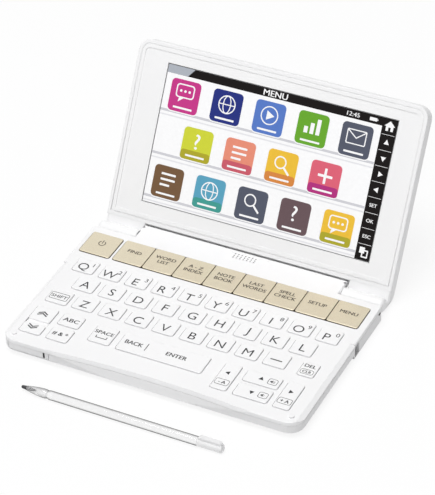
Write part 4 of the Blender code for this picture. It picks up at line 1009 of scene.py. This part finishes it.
SCREEN_COLOURS = {
    "shelf": (0.62, 0.62, 0.66),
    "shelf_light": (0.80, 0.80, 0.83),
    "tab": (0.42, 0.45, 0.50),
    "white": (0.95, 0.95, 0.96),
    "navy": (0.010, 0.022, 0.20),
    "magenta": (0.56, 0.035, 0.24),
    "green": (0.13, 0.38, 0.02),
    "blue": (0.09, 0.19, 0.56),
    "coral": (0.80, 0.27, 0.18),
    "lime": (0.62, 0.66, 0.04),
    "pink": (0.72, 0.12, 0.18),
    "yellow": (0.85, 0.52, 0.04),
    "sky": (0.10, 0.36, 0.52),
    "rose": (0.58, 0.10, 0.14),
    "olive": (0.42, 0.38, 0.02),
    "purple": (0.44, 0.025, 0.20),
    "orange": (0.68, 0.24, 0.05),
    "teal": (0.05, 0.32, 0.28),
    "mauve": (0.13, 0.08, 0.09),
    "brown": (0.17, 0.09, 0.04),
    "slate": (0.08, 0.09, 0.13),
}
# How far the prints lie above the display, in millimetres, from the paper up to the white signs
GROUND_LAYER = 0.02
STRIP_LAYER = 0.05
TILE_LAYER = 0.06
SIGN_LAYER = 0.09
COLOUR_LAYERS = {"shelf": 0.035, "shelf_light": 0.035, "white": 0.045}
COLOUR_LAYERS.update(dict.fromkeys(("rose", "olive", "purple", "orange", "teal"), 0.075))
SIGN_WHITE = (0.96, 0.96, 0.97)
# The display shows bare for this much along its edges, in millimetres
SCREEN_MARGIN = 0.1
# The edges of a shelf and the tiles on it, in millimetres from the foot of their row
SHELF_EDGES = {"shelf": (2.6, 3.75), "shelf_light": (0.7, 1.4)}
TILE_FOOT = 3.6
# Shares of a tile: where its sign stands, half the length of the bar below that, and its lower band
SIGN_HEIGHT = 0.58
SIGN_BAR = 0.32
LOWER_BAND = 0.3
# Each tile of a row: its colour, the colour of its lower band or none, and its sign
MENU_ROWS = (
    (
        ("magenta", None, speech_bubble),
        ("navy", None, globe),
        ("blue", None, play_sign),
        ("green", None, bar_chart),
        ("slate", None, envelope),
    ),
    (
        ("lime", "olive", question),
        ("coral", "rose", note_lines),
        ("yellow", "orange", magnifier),
        ("pink", "purple", plus_sign),
    ),
    (
        ("brown", None, note_lines),
        ("sky", "teal", globe),
        ("slate", None, magnifier),
        ("mauve", None, question),
        ("yellow", "olive", speech_bubble),
    ),
)


def display_face():
    """The left, low, right and high edge of the screen's face and its level, in the lid's own frame."""
    points = lid_points("display_panel")
    top = max(point.z for point in points)
    low, high = corners_of([point for point in points if point.z > top - 0.05])
    return low.x, low.y, high.x, high.y, top


def draw_shelves(sheets, left, low, strip, bar):
    """Three pale shelf edges right across the menu."""
    rise = (bar - low) / len(MENU_ROWS)
    for row in range(len(MENU_ROWS)):
        y = low + rise * row
        for name, (foot, top) in SHELF_EDGES.items():
            sheets[name].box(left + SCREEN_MARGIN, y + foot, strip - 0.2, y + top)


def draw_tiles(sheets, signs, left, low, strip, bar, size):
    """Rows of rounded tiles that stand on the shelves, the middle row half a place along."""
    rise = (bar - low) / len(MENU_ROWS)
    pitch = (strip - left) / max(len(row) for row in MENU_ROWS)
    half, bar_half, border, lap = size / 2, size * SIGN_BAR, 0.5, 0.02
    outer_corner, corner, inner_corner = 2.4, 2.0, 1.6
    for index, row in enumerate(MENU_ROWS):
        y = low + TILE_FOOT + rise * (len(MENU_ROWS) - 1 - index)
        first = (left + strip - pitch * (len(row) - 1)) / 2
        for place, (colour, lower, sign) in enumerate(row):
            x = first + pitch * place
            white = sheets["white"].at(x, y)
            white.box(-half - border, -border, half + border, size + border, outer_corner)
            sheets[colour].at(x, y).box(-half, 0, half, size, corner)
            if lower:
                band_top = size * LOWER_BAND
                sheets[lower].at(x, y).box(lap - half, lap, half - lap, band_top, inner_corner)
            sign(signs.at(x, y + size * SIGN_HEIGHT))
            signs.at(x, y).box(-bar_half, 1.5, bar_half, 2.4, 0.2)


def draw_header(sheets, signs, left, strip, bar, high):
    """A bare tab on the left, a title, the time and the battery sign."""
    low, top = bar + 0.05, high - 0.15
    sheets["tab"].shape([(left + 0.12, low), (left + 10.6, low), (left + 13.8, top), (left + 0.12, top)])
    y = (low + top) / 2
    signs.at((left + strip) / 2 + 1.0, y).text("MENU", 0, 0, 2.9, 0.16, 1.15)
    signs.at(strip, y).text("12:45", -14.5, 0, 2.0, 0.1, 1.15)
    signs.box(-6.4, -0.75, -2.8, 0.75, 0.25)
    signs.box(-2.7, -0.35, -2.3, 0.35)


class DICTIONARY_OT_screen(bpy.types.Operator):
    """Draw a plain menu of coloured tiles on the lit screen"""

    bl_idname = "dictionary.screen"
    bl_label = "Screen menu"

    def execute(self, context):
        look = context.scene.dictionary_screen
        # The display shows light grey at the window's edge: painted light against the shade of the recess
        # there
        set_finish("display_panel", lit_colour("screen_body", (0.45, 0.45, 0.46), 0.0))
        left, low, right, high, level = display_face()
        strip = right - look.strip
        bar = high - look.header
        paper = Print("screen_paper", LID_PLACE, level + GROUND_LAYER)
        paper.box(left + SCREEN_MARGIN, low + SCREEN_MARGIN, strip, bar)
        paper.finish(lit_colour("paper_white", look.paper, look.glow), "lid", "display")
        black = Print("screen_bars", LID_PLACE, level + GROUND_LAYER)
        black.box(left + SCREEN_MARGIN, bar, strip, high - SCREEN_MARGIN)
        black.box(strip, low + SCREEN_MARGIN, right - SCREEN_MARGIN, high - SCREEN_MARGIN)
        black.finish(lit_colour("bar_black", look.bar, 0.2, 0.05), "lid", "display")
        sheets = {}
        for name in SCREEN_COLOURS:
            sheets[name] = Print(f"screen_{name}", LID_PLACE, level + COLOUR_LAYERS.get(name, TILE_LAYER))
        signs = Print("screen_signs", LID_PLACE, level + SIGN_LAYER)
        draw_shelves(sheets, left, low, strip, bar)
        draw_tiles(sheets, signs, left, low, strip, bar, look.tile)
        draw_header(sheets, signs, left, strip, bar, high)
        for name, colour in SCREEN_COLOURS.items():
            sheets[name].finish(lit_colour(f"lit_{name}", colour, look.glow), "lid", "display")
        signs.finish(lit_colour("sign_white", SIGN_WHITE, look.glow), "lid", "display")
        return {"FINISHED"}


class DICTIONARY_OT_touch_strip(bpy.types.Operator):
    """Print the signs and lines of the touch strip"""

    bl_idname = "dictionary.touch_strip"
    bl_label = "Touch strip"

    def execute(self, context):
        look = context.scene.dictionary_screen
        _, low, right, high, level = display_face()
        signs = Print("strip_signs", LID_PLACE, level + STRIP_LAYER)
        margin, side, thickness = 0.2, 0.6, 0.18
        rise = (high - low - 2 * margin) / look.cells
        x, top = right - look.strip / 2, high - margin
        reach = look.strip / 2 - side
        for cell in range(1, look.cells):
            signs.at(x, top - rise * cell).box(-reach, -thickness / 2, reach, thickness / 2)
        centres = [top - rise * (cell + 0.5) for cell in range(look.cells)]
        # A house in the first cell and two sheets in the last
        signs.at(x, centres[0]).shape([(-2.6, 0.3), (2.6, 0.3), (0, 2.7)])
        signs.box(-1.8, -1.9, -0.55, 0.4)
        signs.box(0.55, -1.9, 1.8, 0.4)
        signs.box(-0.6, -0.2, 0.6, 0.4)
        for cell, turn in ((1, 90), (2, 270), (3, 0), (4, 180)):
            signs.at(x, centres[cell]).arrow(0, 0, 1.5, turn)
        for cell, word in ((5, "SET"), (6, "OK"), (7, "ESC")):
            signs.at(x, centres[cell]).text(word, 0, 0, 1.7, 0.1, 1.05)
        signs.at(x, centres[-1]).box(-2.0, -0.6, 0.5, 2.2)
        signs.frame(-0.5, -2.2, 2.0, 0.8, 0.2, 0.6)
        signs.finish(lit_colour("strip_white", SIGN_WHITE, look.glow), "lid", "display")
        return {"FINISHED"}


def stylus_frame():
    """The stylus's place, its tip at the origin and its axis along X, and its length in millimetres."""
    points = [vert.co for node in ("stylus_barrel", "stylus_nib") for vert in nodes[node].data.vertices]
    tip = min(points, key=lambda point: point.x)
    end = max(points, key=lambda point: point.x)
    low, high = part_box("stylus_nib")
    middle = (low + high) / 2
    start = Vector((tip.x, middle.y, middle.z))
    far = [point for point in points if point.x > end.x - 0.01 * MM]
    stop = sum(far, Vector()) / len(far)
    yaw = math.atan2(stop.y - start.y, stop.x - start.x)
    place = Matrix.Translation(start) @ Matrix.Rotation(yaw, 4, "Z")
    return place, (end.x - tip.x) / math.cos(yaw) / MM


BARREL_RADIUS = 2.15
STYLUS_CAP_LENGTH = 12.0
# Profiles of the turned parts: millimetres from the tip and radius
NIB_PROFILE = [(0, 0), (0.08, 0.32), (0.3, 0.6), (0.6, 0.74), (2.3, 0.9), (2.6, 0.9), (2.6, 0)]
CORE_PROFILE = [(2.7, 0), (2.7, 0.6), (5.0, 0.5), (7.4, 0.25), (8.0, 0.06), (8.0, 0)]
CONE_PROFILE = [(2.65, 0), (2.65, 1.0), (3.0, 1.1), (6.0, 1.62), (8.6, 1.98), (10.5, 2.13)]
CONE_PROFILE += [(12.4, BARREL_RADIUS), (12.9, 1.95), (13.25, 1.9), (13.25, 0)]
TUBE_START = [(13.35, 0), (13.35, 1.9), (13.8, 1.92), (14.2, 2.13), (15.0, BARREL_RADIUS)]
# The rib on the far end: millimetres from that end, half its width and its height above the axis
RIB_STEPS = ((-12.0, 0.7, 2.0), (-11.2, 1.0, 3.0), (-10.2, 1.1, 3.5), (-1.2, 1.1, 3.5), (-0.5, 0.8, 3.0))
RIB_FOOT = 1.4
RIB_CHAMFER = 0.25


def rib_mesh(length, place):
    loops = []
    for along, width, height in RIB_STEPS:
        x, shoulder, ridge = length + along, height - RIB_CHAMFER, width - RIB_CHAMFER
        loop = [(x, -width, RIB_FOOT), (x, width, RIB_FOOT), (x, width, shoulder)]
        loops.append(loop + [(x, ridge, height), (x, -ridge, height), (x, -width, shoulder)])
    return placed(lofted(loops), place)


class DICTIONARY_OT_stylus(bpy.types.Operator):
    """Build the clear stylus with its dark nib"""

    bl_idname = "dictionary.stylus"
    bl_label = "Stylus"

    def execute(self, context):
        look = context.scene.dictionary_stylus
        place, length = stylus_frame()
        # The clear parts get their dark outlines as painted shade at their edges
        clear = clear_plastic("stylus_clear", look.clear, look.rim, 0.7, 0.33, 0.77)
        cone_clear_shaded = clear_plastic("stylus_cone_shaded", look.clear, look.cone_rim_shade, 0.72)
        milky = moulded_plastic("stylus_milky", look.milky, 0.25, 0.002 * MM, 0.0)
        dark = soft_dull("nib_dark", (0.03, 0.03, 0.035), 0.45, 700.0)
        grey = soft_dull("core_grey", look.core, 0.5, 500.0)
        end = length - STYLUS_CAP_LENGTH
        tube = TUBE_START + [(end, BARREL_RADIUS), (end, 0)]
        cap = [(end, 0), (end, 2.1), (end + 0.3, BARREL_RADIUS), (length - 0.9, BARREL_RADIUS)]
        cap += [(length - 0.3, 1.9), (length, 1.3), (length, 0)]
        for name, mesh, material, slot in (
            ("stylus_cone", turned(CONE_PROFILE, look.sides, place), cone_clear_shaded, "clear_plastic"),
            ("stylus_tube", turned(tube, look.sides, place), clear, "clear_plastic"),
            ("stylus_cap", turned(cap, look.sides, place), milky, "clear_plastic"),
            ("stylus_rib", rib_mesh(length, place), milky, "clear_plastic"),
            ("stylus_dark_nib", turned(NIB_PROFILE, 32, place), dark, "nib_plastic"),
            ("stylus_core", turned(CORE_PROFILE, 24, place), grey, "nib_plastic"),
        ):
            add_piece(name, mesh, material, "stylus")
        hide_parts("stylus_barrel")
        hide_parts("stylus_nib")
        return {"FINISHED"}


FLOOR_HALF = 4.0
# How much of the floor that is seen is plain white and not lit paper
FLOOR_GLOW = 0.86
LAMP_AIM = Vector((0, -0.02, 0))
SKY_WHITE = (0.95, 0.95, 0.955, 1)


def seen_rays(tree):
    """One for the rays of the eye, of gloss and through glass, and nought for the rest."""
    path = add_node(tree, "ShaderNodeLightPath")
    total = path.outputs["Is Camera Ray"]
    for name in ("Is Glossy Ray", "Is Transmission Ray"):
        either = add_node(tree, "ShaderNodeMath", operation="MAXIMUM")
        link(total, either.inputs[0])
        link(path.outputs[name], either.inputs[1])
        total = either.outputs[0]
    return total


def mix_shaders(share, first, second, surface):
    """Sends two shaders to the surface, the second by the share."""
    mix = add_node(share.id_data, "ShaderNodeMixShader")
    for source, target in zip((share, first, second), mix.inputs):
        link(source, target)
    link(mix.outputs[0], surface)


def floor_paper(colour):
    """Pale paper that looks nearly white to the eye, gloss and glass, and keeps the shadow."""
    paper, shader, place = new_material("floor_paper", colour, 0.9)
    tint(shader, noise(place, 6.0), shade(colour, 0.995), colour)
    tree = paper.node_tree
    share = add_node(tree, "ShaderNodeMath", operation="MULTIPLY")
    share.inputs[1].default_value = FLOOR_GLOW
    link(seen_rays(tree), share.inputs[0])
    glow = add_node(tree, "ShaderNodeEmission")
    surface = tree.nodes["Material Output"].inputs["Surface"]
    mix_shaders(share.outputs[0], shader.outputs["BSDF"], glow.outputs["Emission"], surface)
    return paper


def hang_lamp(name, place, size, power):
    light = bpy.data.lights.new(name, "AREA")
    light.size = size
    light.energy = power
    obj = bpy.data.objects.new(name, light)
    bpy.context.scene.collection.objects.link(obj)
    obj.location = place
    obj.rotation_euler = (LAMP_AIM - obj.location).to_track_quat("-Z", "Y").to_euler()


def set_sky(strength):
    """Even light all round; the eye, gloss and glass see the white of the floor."""
    world = bpy.data.worlds.new("studio_sky")
    bpy.context.scene.world = world
    world.use_nodes = True
    tree = world.node_tree
    tree.nodes.clear()
    even = add_node(tree, "ShaderNodeBackground", Strength=strength)
    white = add_node(tree, "ShaderNodeBackground", Color=SKY_WHITE)
    out = add_node(tree, "ShaderNodeOutputWorld")
    mix_shaders(seen_rays(tree), even.outputs[0], white.outputs[0], out.inputs["Surface"])


class DICTIONARY_OT_floor(bpy.types.Operator):
    """Lay the pale floor, hang the lamps and set the even light"""

    bl_idname = "dictionary.floor"
    bl_label = "Floor and lamps"

    def execute(self, context):
        look = context.scene.dictionary_studio
        low = min(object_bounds()[0].z, 0.0)
        corners = [(x * FLOOR_HALF, y * FLOOR_HALF, low) for x, y in ((-1, -1), (1, -1), (1, 1), (-1, 1))]
        mesh = bpy.data.meshes.new("studio_floor")
        mesh.from_pydata(corners, [], [(0, 1, 2, 3)])
        mesh.materials.append(floor_paper(look.floor))
        floor = bpy.data.objects.new("studio_floor", mesh)
        context.scene.collection.objects.link(floor)
        floor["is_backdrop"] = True
        hang_lamp("key_lamp", (-0.15, -0.3, 1.97), 1.1, look.key_power)
        hang_lamp("fill_lamp", (0.15, -1.5, 1.3), 1.4, look.fill_power)
        set_sky(look.sky)
        return {"FINISHED"}


# The camera of the photograph: its place in millimetres, and its heading, tilt and roll in degrees
CAMERA_PLACE = (438.256, -835.204, 752.615)
CAMERA_HEADING = 27.981
CAMERA_TILT = 90 - 38.007
CAMERA_ROLL = -2.581
CAMERA_SHIFT = (-0.0208, 0.0012)


class DICTIONARY_OT_camera(bpy.types.Operator):
    """Set the camera at the photograph's view"""

    bl_idname = "dictionary.camera"
    bl_label = "Camera"

    def execute(self, context):
        data = bpy.data.cameras.new("portrait_camera")
        data.sensor_width = 36.0
        data.lens = context.scene.dictionary_studio.lens
        data.shift_x, data.shift_y = CAMERA_SHIFT
        data.clip_start = 0.05
        camera = bpy.data.objects.new("portrait_camera", data)
        context.scene.collection.objects.link(camera)
        camera.location = Vector(CAMERA_PLACE) * MM
        turns = ((CAMERA_HEADING, "Z"), (CAMERA_TILT, "X"), (CAMERA_ROLL, "Z"))
        heading, tilt, roll = (Matrix.Rotation(math.radians(angle), 4, axis) for angle, axis in turns)
        camera.rotation_euler = (heading @ tilt @ roll).to_euler()
        context.scene.camera = camera
        context.scene.view_settings.view_transform = "Standard"
        return {"FINISHED"}


class DICTIONARY_PT_panel(bpy.types.Panel):
    """Buttons for each group of pieces, and their sizes and colours"""

    bl_idname = "DICTIONARY_PT_panel"
    bl_label = "Pocket Dictionary"
    bl_space_type = "VIEW_3D"
    bl_region_type = "UI"
    bl_category = "Dictionary"

    def draw(self, context):
        layout = self.layout
        for operator in OPERATORS:
            layout.operator(operator.bl_idname)
        for group in LOOKS:
            box = layout.box()
            box.label(text=group.removeprefix("dictionary_").title())
            values = getattr(context.scene, group)
            for name in values.bl_rna.properties.keys():
                if name not in ("rna_type", "name"):
                    box.prop(values, name)


OPERATORS = (
    DICTIONARY_OT_case,
    DICTIONARY_OT_trims,
    DICTIONARY_OT_key_caps,
    DICTIONARY_OT_gold_caps,
    DICTIONARY_OT_letters,
    DICTIONARY_OT_control_legends,
    DICTIONARY_OT_gold_legends,
    DICTIONARY_OT_inner_parts,
    DICTIONARY_OT_screen,
    DICTIONARY_OT_touch_strip,
    DICTIONARY_OT_stylus,
    DICTIONARY_OT_floor,
    DICTIONARY_OT_camera,
)
LOOKS = {
    "dictionary_case": DictionaryCaseLook,
    "dictionary_keys": DictionaryKeyLook,
    "dictionary_screen": DictionaryScreenLook,
    "dictionary_stylus": DictionaryStylusLook,
    "dictionary_studio": DictionaryStudioLook,
}


def register():
    for kind in (*LOOKS.values(), *OPERATORS, DICTIONARY_PT_panel):
        bpy.utils.register_class(kind)
    for name, look in LOOKS.items():
        setattr(bpy.types.Scene, name, PointerProperty(type=look))


def unregister():
    for name in LOOKS:
        delattr(bpy.types.Scene, name)
    for kind in (DICTIONARY_PT_panel, *reversed(OPERATORS), *LOOKS.values()):
        bpy.utils.unregister_class(kind)


def main():
    register()
    for operator in OPERATORS:
        group, name = operator.bl_idname.split(".")
        getattr(getattr(bpy.ops, group), name)()


if __name__ == "__main__":
    main()
